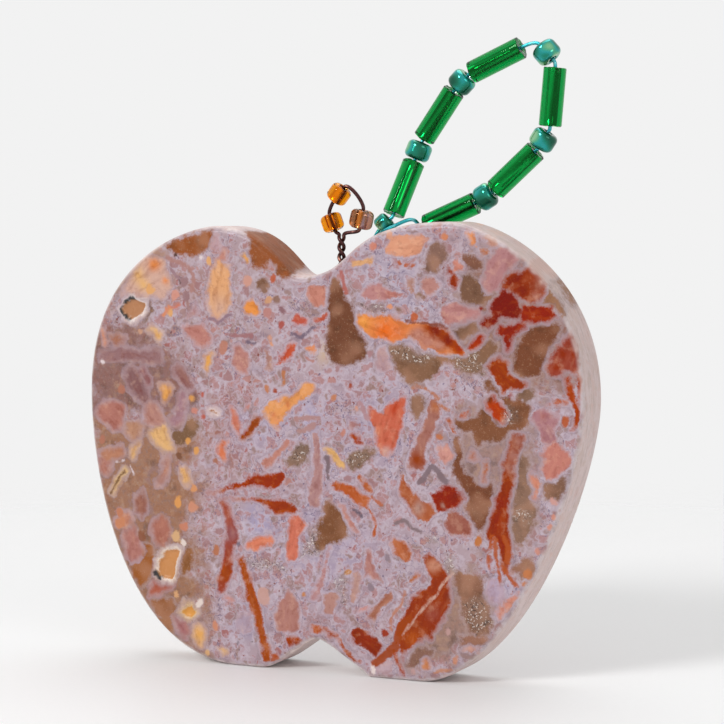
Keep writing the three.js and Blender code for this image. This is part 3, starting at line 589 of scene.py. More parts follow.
# Small marks without a pale rim: colour, radius, then x and z of each
dots = """
#D39E8E .55 -18.6 41.6
#E2B377 .5 -21.6 42
#E2B377 .35 -14.2 45.2 -19 39.6
#C9A48A .32 -23.1 37.4
#957A80 .5 -17.5 43 -17.1 41.4
#C3B2BC .28 -17.5 43 -17.1 41.4
#5D4A46 .2 -18.4 46.05 -17.9 43.2
#E6E0E2 .25 -15.2 45.75 -27.8 33.6
#CFA191 .5 -9.4 43.1
#BD6A4C .42 -6.2 43.5
#CFA57E .45 -6.7 41.2
#8F7263 .4 -7.5 42.5 -5.6 41.2
#B8857F .5 -6.9 39.7
#8E6A70 .4 -5.1 39.9
#B06258 .38 -5.3 38.5
#B9836F .55 -12.5 35.7
#CF8B75 .42 5.6 47.2
#D5A387 .4 7.7 48.3
#D08A5E .42 14.2 48
#B9683F .26 9.8 45.1 10.5 44.8 9 45.3
#E0A27C .35 7.7 40.4
#C06B3F .45 10.6 39.7
#A5838A .35 5.4 35.5
#95301B .22 18.3 40.5 21.5 31.6
#B07A66 .4 -25.5 30.8 -28 24.8
#DDA85F .36 -16.8 25.2 -15.7 24.1 -16.2 30.1
#E0A862 .55 -18.3 18.1
#D0987C .52 -16.3 17.7
#D9A06C .32 -16.4 19.8
#BC6A5A .26 -15 30.5 -15 27.6
#CB8E80 .34 -15.9 28.5
#85604C .42 -18.2 23.2
#BF8260 .4 -26 16.6
#A8735C .36 -13.5 23
#C08258 .34 -6.8 31.3 1.1 30.6
#A8583F .22 -5.8 31.1 3.2 31.75
#D0A08C .26 3.85 29.4
#C08878 .3 2.4 26.7
#BE7A50 .28 13.5 26.7
#B9663C .34 27.75 29
#CFA49C .34 26.6 20.2
#D49A86 .28 25.9 17.6 26.4 18.4
#C78C66 .6 -25.8 15.4
#93654E .5 -22.8 14
#D9B98C .45 -18.5 14.2
#E8E2DC .36 -17.7 13.6 -15.7 6.9
#C8886C .5 -17.6 15.4
#D9B083 .3 -18.3 7.6
#C8A69E .8 -7.5 8
#D09474 .34 -13.7 4.6
#DDBA88 .36 -14.4 1.4
#B5764F .36 -13.5 12.8
#6F6676 .22 -10.7 13.6
#C68A50 .24 -2.6 8.7
#3A3638 .14 -8.8 2.9 -10.6 2.7 18.8 6.8 17.6 5.8 19.1 7.1
#A3421F .42 7.1 5.1
#857D8A .36 5.3 10 7.7 13.5
#C68A3A .3 2.8 11.4
#C07A2E .4 18 15.7
#C6824C .4 23.7 12.6
#C6824C .22 23.3 11.6
#CF9A8C .38 24.9 15
#C89070 .3 15.5 2.8
#BFA2A0 .34 10.5 1.3 14.5 5.5
#F0EAE6 .3 5.8 .8 5.6 1.3
"""

# Thin veins and cracks: colour, width, then x and z along the line. The last row is no vein but a painted highlight
# along the left lobe's top edge
veinsAndTopHighlight = """
#A9847F .5 -19.5 45.8 -18.5 45.3 -17.3 44.8 -16.5 44 -16 43 -16.2 42.2
#957C86 .3 -19.2 44.6 -17.9 43.2
#D9926A .45 -20 39.3 -19.6 40 -19.1 40.2
#C98270 .3 -18.9 40.2 -18 40.4
#8D7888 .3 -14.2 38.9 -12.8 38.5 -11.4 39.2
#D9A27F .3 -6.6 37 -6.2 36
#9F7478 .45 -12 37.1 -10.3 37.4 -9 37.2
#74687A .32 -9.5 36.6 -8.3 36.3
#74687A .32 -3.8 37.4 -2.8 37.1 -2 37.7 -1.3 38
#B47068 .42 2 44.4 2.4 43.2 2.9 42
#8F5C50 .3 9.6 39.3 11 39 12.4 38.85 13.8 38.8 14.6 38.4
#D9D4DA .26 -26.4 22.1 -25.4 22.7
#D9D4DA .26 -24.4 22.2 -23.9 21.2
#B97B4C .35 -5.2 33.2 -4.9 31.6
#AB8A88 .5 -3.4 28.2 -.8 28
#AB8A88 .5 -3.2 26.7 -1.2 27.3
#AD8E96 .5 4.5 30 5.1 28.2
#786A70 .4 .3 23.8 .5 21.6
#B9704E .35 5.8 20 7 19.1
#6B6270 .3 3.5 18.4 4.2 18.1 4.5 17.6
#B57A58 .26 10.5 32.1 12 31.6 13.5 31
#B57A58 .26 13.4 30.4 14.5 29.7
#7F7277 .45 8.8 17.2 9.6 17.4 10.4 16.6 11.6 16.4
#7D7078 .6 11.2 21.6 12 22.6 12.5 23.4 13.4 22.9 14.4 22
#B5663F .4 20 16.4 20 14.2 20.3 13 20.8 11.6
#B5663F .55 21 16.4 21.2 15 21.6 13.8
#B5663F .42 20.9 13.3 21.6 12.4 22.6 11.4
#B5663F .3 19.2 14.2 19.3 12.8
#B5663F .3 19.6 16.4 19.3 15
#A8582E .95 5.8 1.7 7 2.2 8.2 3.4 8.7 4.6 9.2 5.8 10 6.8
#CBB0A4 .2 9 4.6 12 8.4 15 12
#CBB0A4 .18 12 8.2 14.5 11.2
#B9836A .3 8 5.6 8 7 8.6 8 9.4 9 9.8 9.6
#C39070 .34 13.2 1.2 15 1.8
#E9E2E0 .28 -4 2 -3 2.6 -2 3.2 -1.2 3.6
#D8CFD0 .2 -15 48.9 -12 49 -9 48.8
"""

# Hollows lined with quartz: rim colour, floor colour, then the rim's corners; the floor is a real pit
hollows = """
#F2F0EE #B07C47 -25.9 39.9 -25.2 40.9 -24.3 41.2 -22.8 41 -22 40.9 -22 40.2 -22.3 39.3 -23.2 38.6 -24.3 38.3
 -25 38.6 -25.6 39.3
#F3EDE2 #C58A3D -21.4 10.6 -20.8 11.4 -20.2 12.4 -19.6 13.1 -18.6 13.3 -17.9 12.9 -18 12.2 -18.4 11.2 -18.4 10
 -18.7 9.2 -19.4 8.9 -20.4 9 -21 9.4 -21.3 9.9
#E4CFA4 #DCA54C -18.5 5.4 -17.8 6.4 -17.2 7 -16.4 7 -15.8 6.2 -15.9 5.3 -16.6 4.9 -17.6 4.9
#E0C58A #C99A4C -27.2 18.8 -26.8 19.4 -26.2 20.4 -25.6 21.3 -25.2 22 -24.7 21.8 -24.7 21.2 -25.3 20.4 -26 19.4
 -26.6 18.5
#EAE3E0 #A8744E -14.5 28.4 -14.1 28.9 -13.4 29 -12.8 28.6 -12.9 28.2 -13.6 28 -14.2 28.1
"""
# Painted shadows inside the hollows, along one side of each: colour, width, then x and z along the line
hollowShadows = """
#23282E .34 -23.9 40.75 -24.5 40.9 -25.1 40.6 -25.6 39.9 -25.2 39.2 -24.5 38.7
#2B2E33 .42 -21.3 10.1 -20.9 9.7 -20.7 9.3
#7D6048 .24 -27 18.7 -26 20 -25.2 21.2
"""

# Quartz patches, with painted glints and dark specks: x and z of each corner
druzyPatches = """
-9.4 11.8 -8.8 12.3 -7.4 12.4 -6 12 -5 11.7 -4.6 11.2 -5.6 10.9 -7 11.1 -8.4 11.3
-2.8 12.7 -2.4 14.2 -1.8 15.2 -1.2 16 -.6 15.6 -.8 14.4 -.4 13.2 -1.4 12.8
.6 9.6 1.6 10.8 2.6 11.4 2.7 10 2.4 8.6 2.6 7.6 2.1 7.5 1.4 9.3
7.4 36.6 8.5 36.4 10 36.2 11.5 35.8 12.8 35.5 12.6 34.9 10.2 34.7 8 35
11.8 15 12.4 16.2 13.4 16 13.8 15
14 13 14.4 14.4 15.4 14.2 15.3 12.4 14.6 12.2
16.4 9.4 18.6 9.8 19.3 8.6 19.6 7 18 5.8 16.6 7.4
20.6 29.6 21.4 30.4 22.4 29.4 22 28.4 21.2 28.6
4 41 5 40.6 6 40.8 7.1 40.9 7 39.8 6 39.8 5.2 40.1
14.6 35.4 16.6 35 17.6 35.9 18.4 35.2 18.9 34.2 18.2 33.6 16.8 33.8 15.4 34.2
2.5 24 3.5 24.6 5.7 24.9 5 23.7 3.2 23
-4.6 23.6 -3 25 -1.8 24.4 -3.2 23.2
22 18.4 22.8 19.6 24 19 24 18
"""

# Smoky translucent ground at the left: a colour, then x and z of each corner
smokyGround = """
#A68068 -30 27.5 -26 28.5 -22.5 27.5 -19.5 28.5 -17.6 28 -16 27 -15 25.6 -15.6 24 -17 22.4 -16.4 21 -15 19.8 -15.6 18
 -16.8 16.4 -16 14.6 -14.8 13.2 -15.4 11.2 -16.4 9.6 -15.4 8 -14.8 6 -15.6 4.4 -14.6 2.6 -14.4 .5 -18 .5 -25 4 -29 12
#97746C -30.5 37 -28 38.6 -24 38.2 -21.5 36.6 -19 35.8 -17.6 34.4 -16 33.6 -16.6 31.6 -15.4 30 -16.6 28 -19.5 28.3
 -22.5 27.3 -26 28.3 -30 27.3
#B49484 -29 38 -27.8 42 -25 46 -21.5 48 -20 47 -19.6 44 -21.4 41.6 -26.2 41.2 -26.8 38.6
#A08074 14.5 37.5 15.5 44 18 47 22 47.5 26 44 29 38 29.5 33 26 31.5 23 32 20 33.5 17 33.8
#AA908A 15 29 18 30.5 22 31 24.5 28 24.8 22 23.6 17 22.4 14.4 21 15 18.5 16 16 18 15.4 22
#A88C80 14.8 12 18 13 20 9 19.6 5 16 3.6 12 2 9 1.5
"""

# Where the lilac ground turns browner or greyer: colour, then x, z and radius of each
groundTints = """
#B29A98 -14 40 6 -15 10 4
#AC8276 -13.4 26 2.6 -11.4 29 2.4 -10.6 23.4 2 -14 19 2 4 29 2.4
#AA8478 5 19 2.6 3.4 9 2.4 6.4 6 2.6 12 27 2 -4 21 2 -1 5.4 2
#B08E88 3.6 44 2.4 13.4 46 2.4 -17 42 2.6
#B3A6B6 0 14 8 6 28 5
#B9AEBB 8 42 7 20 25 6
#A9A0B4 -9.7 5 2.2
#B3A9BE 20 11 2.4
#B8AAB2 12 6 5
#AF9FA4 25 44 5
#CDB7A6 .2 35.6 1.5
#B1A8BE -9 27 2.5 -2.5 28.5 2.5 -8 16.5 2
"""


def readRows(text, lead):  # rows that start with a colour; a line that starts with a space goes on from the last
    rows = []
    for line in text.strip("\n").split("\n"):
        if line.startswith("#"):
            rows.append([])
        rows[-1] += line.split()
    return [(row[:lead], np.array([float(w) for w in row[lead:]])) for row in rows]


# How the rows are laid on the stone, lengths in mm
pattern = {
    "ground": "#BCAAAF", "quartz": "#9C8A80",
    "sway": 0.5, "swayRate": 0.9, "skin": 0.1,  # sideways bend of the pattern below the front's skin
    "waves": ((2.4, 0.42), (0.8, 0.2)), "waveSlice": 3.7,  # length and height of the waves in the patches' sides
    "farthest": 6.0, "smokeMargin": 4.5, "margin": 2.0, "markMargin": 1.2,  # how far out an edge is measured
    "fibreShift": (7.3, 3.1), "dotSquash": 0.85, "tintReach": 0.8, "rimWidth": 0.38, "rimShare": 0.3,
    "pitMargin": 0.1, "pitRim": 0.2, "pitSlope": 0.45, "pitSkin": 0.01,
}


def wavy(points, size, height):  # breaks the straight sides of the placed patches
    moved = np.empty_like(points)
    for i, (x, z) in enumerate(points):
        push = noise.noise_vector((x / size, pattern["waveSlice"], z / size))
        moved[i] = (x + height * push[0], z + height * push[2])
    return moved


def paintPattern(mesh):
    count = len(mesh.vertices)
    place = np.empty(count * 3)
    mesh.vertices.foreach_get("co", place)
    place = place.reshape(-1, 3) / mm
    depth = place[:, 1] - frontY
    flat = place[:, [0, 2]] + depth[:, None] * np.array(stone["slant"])
    flat[:, 0] += pattern["sway"] * np.sin(depth * pattern["swayRate"]) * (depth > pattern["skin"])
    for size, height in pattern["waves"]:
        flat = wavy(flat, size, height)
    ground = np.tile(linear(pattern["ground"]), (count, 1))
    layers = {}
    for layer in ("smoke", "pool", "piece", "mark", "druzy"):
        layers[layer] = np.full(count, pattern["farthest"]), ground.copy()
    fibre = np.zeros((count, 3))
    pit = np.zeros(count)

    def tint(paint, rows, reach):  # soft spots of colour
        for (colour,), numbers in readRows(rows, 1):
            for x, z, radius in numbers.reshape(-1, 3):
                away = (flat[:, 0] - x) ** 2 + (flat[:, 1] - z) ** 2
                share = np.exp(-away / (reach * radius) ** 2)[:, None]
                paint[:] = paint * (1 - share) + np.array(linear(colour)) * share

    def lay(layer, colour, nearness, where):  # the nearest patch of a layer gives its colour and edge
        edge, paint = layers[layer]
        closer = nearness < edge[where]
        edge[where[closer]] = nearness[closer]
        paint[where[closer]] = linear(colour)
        return where[closer]

    def around(corners, margin):
        low, high = corners.min(0) - margin, corners.max(0) + margin
        return np.flatnonzero(((flat > low) & (flat < high)).all(1))

    def patch(layer, colour, corners, grow=0.0):
        where = around(corners, pattern["smokeMargin" if layer == "smoke" else "margin"])
        away = edgeDistance(flat[where], corners)
        won = lay(layer, colour, np.where(inside(flat[where], corners), -away, away) - grow, where)
        if layer == "piece":  # places along and across the piece's own long axis, for its fibres
            middle = corners.mean(0)
            axes = np.linalg.svd(corners - middle)[2]
            fibre[won, :2] = (flat[won] - middle) @ axes.T
            fibre[won, 2] = pattern["fibreShift"][0] * middle[0] + pattern["fibreShift"][1] * middle[1]

    def store(name, kind, field, values):
        mesh.attributes.new(name, kind, "POINT").data.foreach_set(field, values.ravel())

    tint(ground, groundTints, 1.0)
    for layer, rows in (("smoke", smokyGround), ("pool", brownPools), ("piece", brokenPieces)):
        for (colour,), numbers in readRows(rows, 1):
            patch(layer, colour, numbers.reshape(-1, 2))
    for (rim, floor), numbers in readRows(hollows, 2):
        corners = numbers.reshape(-1, 2)
        patch("piece", rim, corners)
        patch("mark", floor, corners, -min(pattern["rimWidth"], pattern["rimShare"] * np.ptp(corners, axis=0).min()))
        where = around(corners, pattern["pitMargin"])
        away = edgeDistance(flat[where], corners) * inside(flat[where], corners)
        pit[where] = np.maximum(pit[where], np.clip((away - pattern["pitRim"]) / pattern["pitSlope"], 0, 1))
    for (colour, radius), numbers in readRows(dots, 2):
        for spot in numbers.reshape(-1, 2):
            where = around(spot[None], pattern["markMargin"])
            away = flat[where] - spot
            lay("mark", colour, np.hypot(away[:, 0], away[:, 1] * pattern["dotSquash"]) - float(radius), where)
    # veins, the painted highlight along the left lobe's top and the hollows' painted shadows, all laid as marks
    for (colour, width), numbers in readRows(veinsAndTopHighlight + hollowShadows.lstrip("\n"), 2):
        line = numbers.reshape(-1, 2)
        where = around(line, pattern["markMargin"])
        lay("mark", colour, edgeDistance(flat[where], line, closed=False) - float(width) / 2, where)
    for row in druzyPatches.strip().split("\n"):
        patch("druzy", pattern["quartz"], np.array([float(w) for w in row.split()]).reshape(-1, 2))
    tint(layers["piece"][1], innerTints, pattern["tintReach"])

    for layer, (edge, paint) in layers.items():
        store(layer + "Edge", "FLOAT", "value", edge)
        store(layer + "Colour", "FLOAT_COLOR", "color", paint)
    store("pieceFibre", "FLOAT_VECTOR", "vector", fibre)
    store("groundColour", "FLOAT_COLOR", "color", ground)
    inward = stone["thickness"] / 2 - np.abs(place[:, 1] - midY)
    store("groundWall", "FLOAT", "value", np.clip(inward / stone["edgeRound"], 0, 1))

    # the hollows sink into the front face
    pit *= place[:, 1] < frontY + pattern["pitSkin"]
    place[:, 1] += stone["pitDepth"] * pit * pit * (3 - 2 * pit)
    mesh.vertices.foreach_set("co", (place * mm).ravel())
    mesh.update()


paintPattern(slabMesh)
print("stone pattern laid")

# Polished agate: glassy and smooth, with broken pieces, pale growth rims and soft lilac ground
agate = {
    "noises": {  # feature size in mm and detail of each noise
        "ripple": (0.55, 2), "fray": (0.16, 2), "patchy": (1.6, 2), "cloud": (1.8, 5), "rose": (2.6, 4),
        "glintSpecks": (0.1, 1), "mottle": (0.4, 4), "pale": (0.8, 5), "deep": (0.5, 5), "wisp": (1.3, 3),
        "drift": (3.0, 1), "pocket": (2.6, 3), "blush": (1.4, 3),
    },
    "noiseRoughness": 0.55,
    "heights": {"ripple": 0.75, "fray": 0.32, "pocket": 9.0},  # how far in mm these noises move an edge
    "ragged": {"smoke": 2.5, "pool": 1.4, "piece": 1.0, "mark": 0.6, "druzy": 2.0},  # how uneven each edge is
    # coats: a colour, its most cover, a noise, where the coat starts and where it is full
    "groundCoats": (
        ("#C7BBC2", 0.6, "cloud", 0.5, 0.7), ("#94808A", 0.55, "cloud", 0.48, 0.3),
        ("#B08680", 0.5, "rose", 0.5, 0.7), ("#D2C9D4", 0.4, "pocket", 0.48, 0.53),
        ("#97796C", 0.6, "pocket", 0.535, 0.62), ("#D2C9D4", 0.35, "blush", 0.52, 0.56),
        ("#AE7468", 0.5, "blush", 0.565, 0.64),
    ),
    "smokeCoats": (
        ("#644A3A", 0.5, "cloud", 0.48, 0.3), ("#A98A76", 0.6, "cloud", 0.52, 0.7),
        ("#A08C92", 0.5, "rose", 0.54, 0.68), ("#8A7876", 0.5, "mottle", 0.5, 0.66),
        ("#C8A88E", 0.4, "pale", 0.52, 0.7), ("#C9B29C", 0.4, "glintSpecks", 0.66, 0.74),
    ),
    "poolCoats": (
        ("#5E4434", 0.4, "cloud", 0.52, 0.3), ("#C29C88", 0.45, "drift", 0.5, 0.68),
        ("#B08F78", 0.45, "mottle", 0.55, 0.7), ("#D8C8BA", 0.25, "glintSpecks", 0.66, 0.74),
    ),
    "pieceCoats": (
        ("#F0D2BC", 0.2, "pale", 0.5, 0.72), ("#7A2E14", 0.2, "deep", 0.5, 0.28),
        ("#EBC0A4", 0.12, "fibre", 0.5, 0.7), ("#7C2C10", 0.2, "fibre", 0.5, 0.3),
    ),
    "crumbs": ((1.25, 0.6), (0.6, 0.45)), "crooked": 0.7,  # size and cover of the crumbs, size of their bends
    "crumbTones": (
        (0.0, "#A2746E"), (0.25, "#B3857F"), (0.45, "#BC8474"),
        (0.6, "#96745F"), (0.74, "#C2B3BA"), (0.9, "#A4523A"),
    ),
    "crumbShare": 0.9, "fleck": 0.5, "glintCells": 0.15, "fibre": 0.7, "fibreStretch": 0.3,
    "rim": "#C6B8C2", "rimWidth": 0.26, "poolHaze": "#A08478", "poolHazeShare": 0.27,
    "chalk": "#E0BCB4", "chalkShare": 0.22, "depth": 1.27, "vivid": 1.07,
    # softness of the pieces' edges: crisp to soft in patches, more in the smoke and towards the left
    "crisp": 0.08, "soft": 0.5, "smokeSoft": 0.14, "leftSoft": 0.32, "leftFrom": -6.0, "leftFull": -16.0,
    # edge tone: a painted highlight, a pale line along the front edge's rounding
    # wall tone: the ground wall's own paler tone, lifted further by painted light where the wall is dimly lit
    "wallToneAndLight": "#F0DAD2", "wallToneAndLightShare": 0.6, "edgeHighlightTone": "#F0E6E2", "edgeHighlightShare": 0.4,
    "lineGap": 0.16, "lineStretch": 0.06, "lineDepth": 0.02, "lineStrength": 0.6,
    "roughness": 0.2, "wallRoughness": 0.42, "rippleRoughness": 0.12, "ior": 1.54, "specular": 0.14,
}


# A coat is a colour, its most cover, then masks: a value, where it starts to cover, where it is full
def layCoats(add, base, coats):
    for colour, most, *masks in coats:
        cover = most
        for value, start, full in masks:
            mask = add("MapRange", {
                "Value": value, "From Min": start, "From Max": full,
            }, interpolation_type="SMOOTHSTEP")
            cover = add("Math", {0: mask, 1: cover}, operation="MULTIPLY")
        above = linear(colour) if isinstance(colour, str) else colour
        base = add("Mix", {0: cover, 6: base, 7: above}, data_type="RGBA")
    return base


def makeAgate():
    material, add = newMaterial("polishedBrecciaAgate")
    spot = add("TexCoord").outputs["Object"]
    place = add("VectorMath", {0: spot, "Scale": 1 / mm}, operation="SCALE")
    noises, colours, edges = {}, {}, {}
    for name, (size, detail) in agate["noises"].items():
        noises[name] = add("TexNoise", {
            "Vector": place, "Scale": 1 / size, "Detail": detail, "Roughness": agate["noiseRoughness"],
        })
    way = add("Attribute", attribute_name="pieceFibre").outputs["Vector"]
    along = add("VectorMath", {0: way, 1: (agate["fibreStretch"], 1.0, 1.0)}, operation="MULTIPLY")
    noises["fibre"] = add("TexNoise", {"Vector": along, "Scale": 1 / agate["fibre"], "Detail": 3.0})
    patchy = noises["patchy"]

    def noiseCoats(rows):
        return [(colour, most, (noises[name], start, full)) for colour, most, name, start, full in rows]

    sways = {}  # noises moved to either side of zero
    for name, height in agate["heights"].items():
        sways[name] = add("Math", {0: noises[name], 1: height, 2: -height / 2}, operation="MULTIPLY_ADD")
    wobble = add("Math", {0: sways["ripple"], 1: sways["fray"]}, operation="ADD")
    for name, height in agate["ragged"].items():
        laid = add("Attribute", attribute_name=name + "Edge").outputs["Fac"]
        edges[name] = add("Math", {0: wobble, 1: height, 2: laid}, operation="MULTIPLY_ADD")
        colours[name] = add("Attribute", attribute_name=name + "Colour")
    edges["smoke"] = add("Math", {0: sways["pocket"], 1: edges["smoke"]}, operation="ADD")

    # ground: clouds of lilac and rose, crumbs of the broken rock with pale rims, a few dark flecks and wisps
    base = add("Attribute", attribute_name="groundColour")
    base = layCoats(add, base, noiseCoats(agate["groundCoats"]))
    crooked = add("TexNoise", {"Vector": place, "Scale": 1 / agate["crooked"], "Detail": 3.0})
    bent = add("VectorMath", {0: crooked.outputs["Color"], 1: place}, operation="ADD")
    for size, cover in agate["crumbs"]:
        crumb = add("TexVoronoi", {"Vector": bent, "Scale": 1 / size})
        crack = add("TexVoronoi", {"Vector": bent, "Scale": 1 / size}, feature="DISTANCE_TO_EDGE")
        pick = add("SeparateColor", {0: crumb.outputs["Color"]})
        tones = add("ValToRGB", {0: pick.outputs["Green"]}, stops=agate["crumbTones"])
        tones.color_ramp.interpolation = "CONSTANT"
        chosen = add("Math", {0: patchy, 1: agate["crumbShare"], 2: pick.outputs["Red"]}, operation="MULTIPLY_ADD")
        base = layCoats(add, base, [
            (agate["rim"], 0.5, (crack, 0.02, 0.1), (chosen, 1.0, 1.08)),
            (tones, cover, (crack, 0.1, 0.26), (chosen, 1.0, 1.08)),
        ])
    fleck = add("TexVoronoi", {"Vector": bent, "Scale": 1 / agate["fleck"]})
    kind = add("SeparateColor", {0: fleck.outputs["Color"]}).outputs["Red"]
    base = layCoats(add, base, [
        ("#8A4E42", 0.75, (fleck, 0.3, 0.16), (kind, 0.93, 0.94)),
        ("#7E7288", 0.75, (fleck, 0.3, 0.16), (kind, 0.06, 0.05)),
        ("#7F738A", 0.65, (noises["wisp"], 0.482, 0.497), (noises["wisp"], 0.518, 0.503),
         (noises["drift"], 0.5, 0.6)),
    ])

    # smoky ground and brown pools: soft edges, darker hearts, fine pale specks as painted glints
    haze = (agate["poolHaze"], agate["poolHazeShare"])
    smoky = layCoats(add, colours["smoke"], noiseCoats(agate["smokeCoats"]))
    brown = layCoats(add, colours["pool"], [haze] + noiseCoats(agate["poolCoats"]))
    base = layCoats(add, base, [
        (smoky, 0.88, (edges["smoke"], 1.6, -2.0)),
        ("#C0B0B4", 0.4, (edges["pool"], 0.5, 0.2)),
        (brown, 1.0, (edges["pool"], 0.3, -0.3)),
    ])

    # broken pieces: patchy pale rim outside, an edge now crisp and now soft, fibres along the piece
    piece, rim = edges["piece"], agate["rimWidth"]
    chalky = {}  # the light pieces and marks are chalkier than the dark ones
    for name in ("piece", "mark"):
        paleness = add("SeparateColor", {0: colours[name]}).outputs["Green"]
        chalky[name] = layCoats(add, colours[name], [(agate["chalk"], agate["chalkShare"], (paleness, 0.06, 0.25))])
    rind = ("#C2A09C", 0.3, (piece, -0.3, 0.02))
    broken = layCoats(add, chalky["piece"], [rind] + noiseCoats(agate["pieceCoats"]))
    across = add("SeparateXYZ", {0: place})
    blur = add("MapRange", {
        "Value": patchy, "From Min": 0.38, "From Max": 0.7, "To Min": agate["crisp"], "To Max": agate["soft"],
    })
    smokier = add("MapRange", {
        "Value": edges["smoke"], "From Min": 0.6, "From Max": -0.6, "To Max": agate["smokeSoft"],
    })
    deeper = add("MapRange", {
        "Value": across, "From Min": agate["leftFrom"], "From Max": agate["leftFull"], "To Max": agate["leftSoft"],
    })
    soft = add("Math", {0: blur, 1: smokier}, operation="ADD")
    soft = add("Math", {0: soft, 1: deeper}, operation="ADD")
    ratio = add("Math", {0: piece, 1: soft}, operation="DIVIDE")
    base = layCoats(add, base, [
        ("#8C7A84", 0.3, (piece, rim + 0.2, rim + 0.1), (piece, rim - 0.04, rim + 0.06)),
        (agate["rim"], 0.2, (piece, rim + 0.2, rim - 0.12)),
        (agate["rim"], 0.5, (piece, rim + 0.2, rim - 0.12), (patchy, 0.34, 0.64)),
        (agate["rim"], 0.6, (piece, rim + 0.25, rim - 0.1), (edges["pool"], 0.3, -0.3), (patchy, 0.3, 0.56)),
        ("#B09EA4", 0.5, (piece, rim + 0.25, rim - 0.1), (edges["smoke"], 0.6, -0.6), (patchy, 0.3, 0.56)),
        (broken, 1.0, (ratio, 0.9, -0.9)),
    ])

    # small marks, veins, the painted top-edge highlight and the hollows' painted shadows, then the quartz with its
    # painted glints
    glintCells = add("TexVoronoi", {"Vector": bent, "Scale": 1 / agate["glintCells"]})
    glint = add("SeparateColor", {0: glintCells.outputs["Color"]}).outputs["Red"]
    base = layCoats(add, base, [
        (chalky["mark"], 0.9, (edges["mark"], 0.14, -0.12)),
        (colours["druzy"], 0.4, (edges["druzy"], 0.5, -0.5)),
        # painted glints: white specks on the quartz where the cells' value is high; dark specks where it is low
        ("#E6E0DC", 0.65, (edges["druzy"], 0.35, -0.5), (glint, 0.84, 0.9)),
        ("#4E4244", 0.6, (edges["druzy"], 0.35, -0.5), (glint, 0.16, 0.08)),
    ])

    # sawn and ground wall: paler, partly its own frosted tone and partly painted light, matt, fine lines along the
    # edge; a painted highlight line along the front edge
    wall = add("Attribute", attribute_name="groundWall").outputs["Fac"]
    stretch = (agate["lineStretch"], 1.0, agate["lineStretch"])
    long = add("VectorMath", {0: place, 1: stretch}, operation="MULTIPLY")
    lines = add("TexNoise", {"Vector": long, "Scale": 1 / agate["lineGap"], "Detail": 2.0})
    deepened = add("Gamma", {"Color": base, "Gamma": agate["depth"]})
    vivid = add("HueSaturation", {"Color": deepened, "Saturation": agate["vivid"]})
    base = layCoats(add, vivid, [
        (agate["wallToneAndLight"], agate["wallToneAndLightShare"], (wall, 0.15, 1.0), (edges["pool"], -0.4, 0.8)),
        ("#94766C", 0.4, (wall, 0.0, 1.0), (lines, 0.53, 0.7)),
        # a painted highlight: a pale line along the front edge's rounding, kept off the pools
        (agate["edgeHighlightTone"], agate["edgeHighlightShare"], (wall, 0.02, 0.3), (wall, 0.95, 0.5), (patchy, 0.25, 0.6),
         (edges["pool"], -0.4, 0.8)),
    ])
    rough = add("MapRange", {"Value": wall, "To Min": agate["roughness"], "To Max": agate["wallRoughness"]})
    rough = add("Math", {0: noises["ripple"], 1: agate["rippleRoughness"], 2: rough}, operation="MULTIPLY_ADD")
    sawn = add("Math", {0: lines, 1: wall}, operation="MULTIPLY")
    relief = add("Bump", {"Strength": agate["lineStrength"], "Distance": agate["lineDepth"] * mm, "Height": sawn})
    shader = add("BsdfPrincipled", {
        "Base Color": base, "Roughness": rough, "IOR": agate["ior"], "Specular IOR Level": agate["specular"],
        "Normal": relief,
    })
    add("OutputMaterial", {"Surface": shader})
    return material


slab = addPiece("agateSlab", slabMesh, [makeAgate()])
slabMesh.polygons.foreach_set("use_smooth", np.ones(len(slabMesh.polygons), bool))
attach(slab, "apple")
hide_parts("stone_apple")
print("agate slab made")

# Beads: each sits on its own joint in the frame, so its centre and thread axis come from there
jointOf = {joint["name"]: joint for joint in frame["joints"]}
beadKinds = {
    "amber": {"width": 2.4, "length": 1.9, "round": 0.52, "bore": 1.02, "chip": 0.02, "slot": "amber_glass"},
    "luster": {"width": 2.6, "length": 2.1, "round": 0.6, "bore": 1.02, "chip": 0.02, "slot": "amber_luster_glass"},
    "bugle": {"width": 2.5, "length": 6.4, "round": 0.15, "bore": 1.02, "chip": 0.09, "slot": "emerald_glass"},
    "seed": {"width": 2.84, "length": 2.05, "round": 0.6, "bore": 1.02, "chip": 0.02, "slot": "teal_luster_glass"},
    "rootSeed": {"width": 2.4, "length": 1.7, "round": 0.5, "bore": 1.02, "chip": 0.02, "slot": "teal_luster_glass"},
}
# piece, CAD node, kind, turn about the thread in degrees
beads = [
    ("amberBeadLeft", "stem_bead_left", "amber", 0), ("amberBeadTop", "stem_bead_top", "amber", 70),
    ("amberBeadRight", "stem_bead_right", "luster", 20), ("tealRootSeed", "leaf_root_seed", "rootSeed", 0),
]
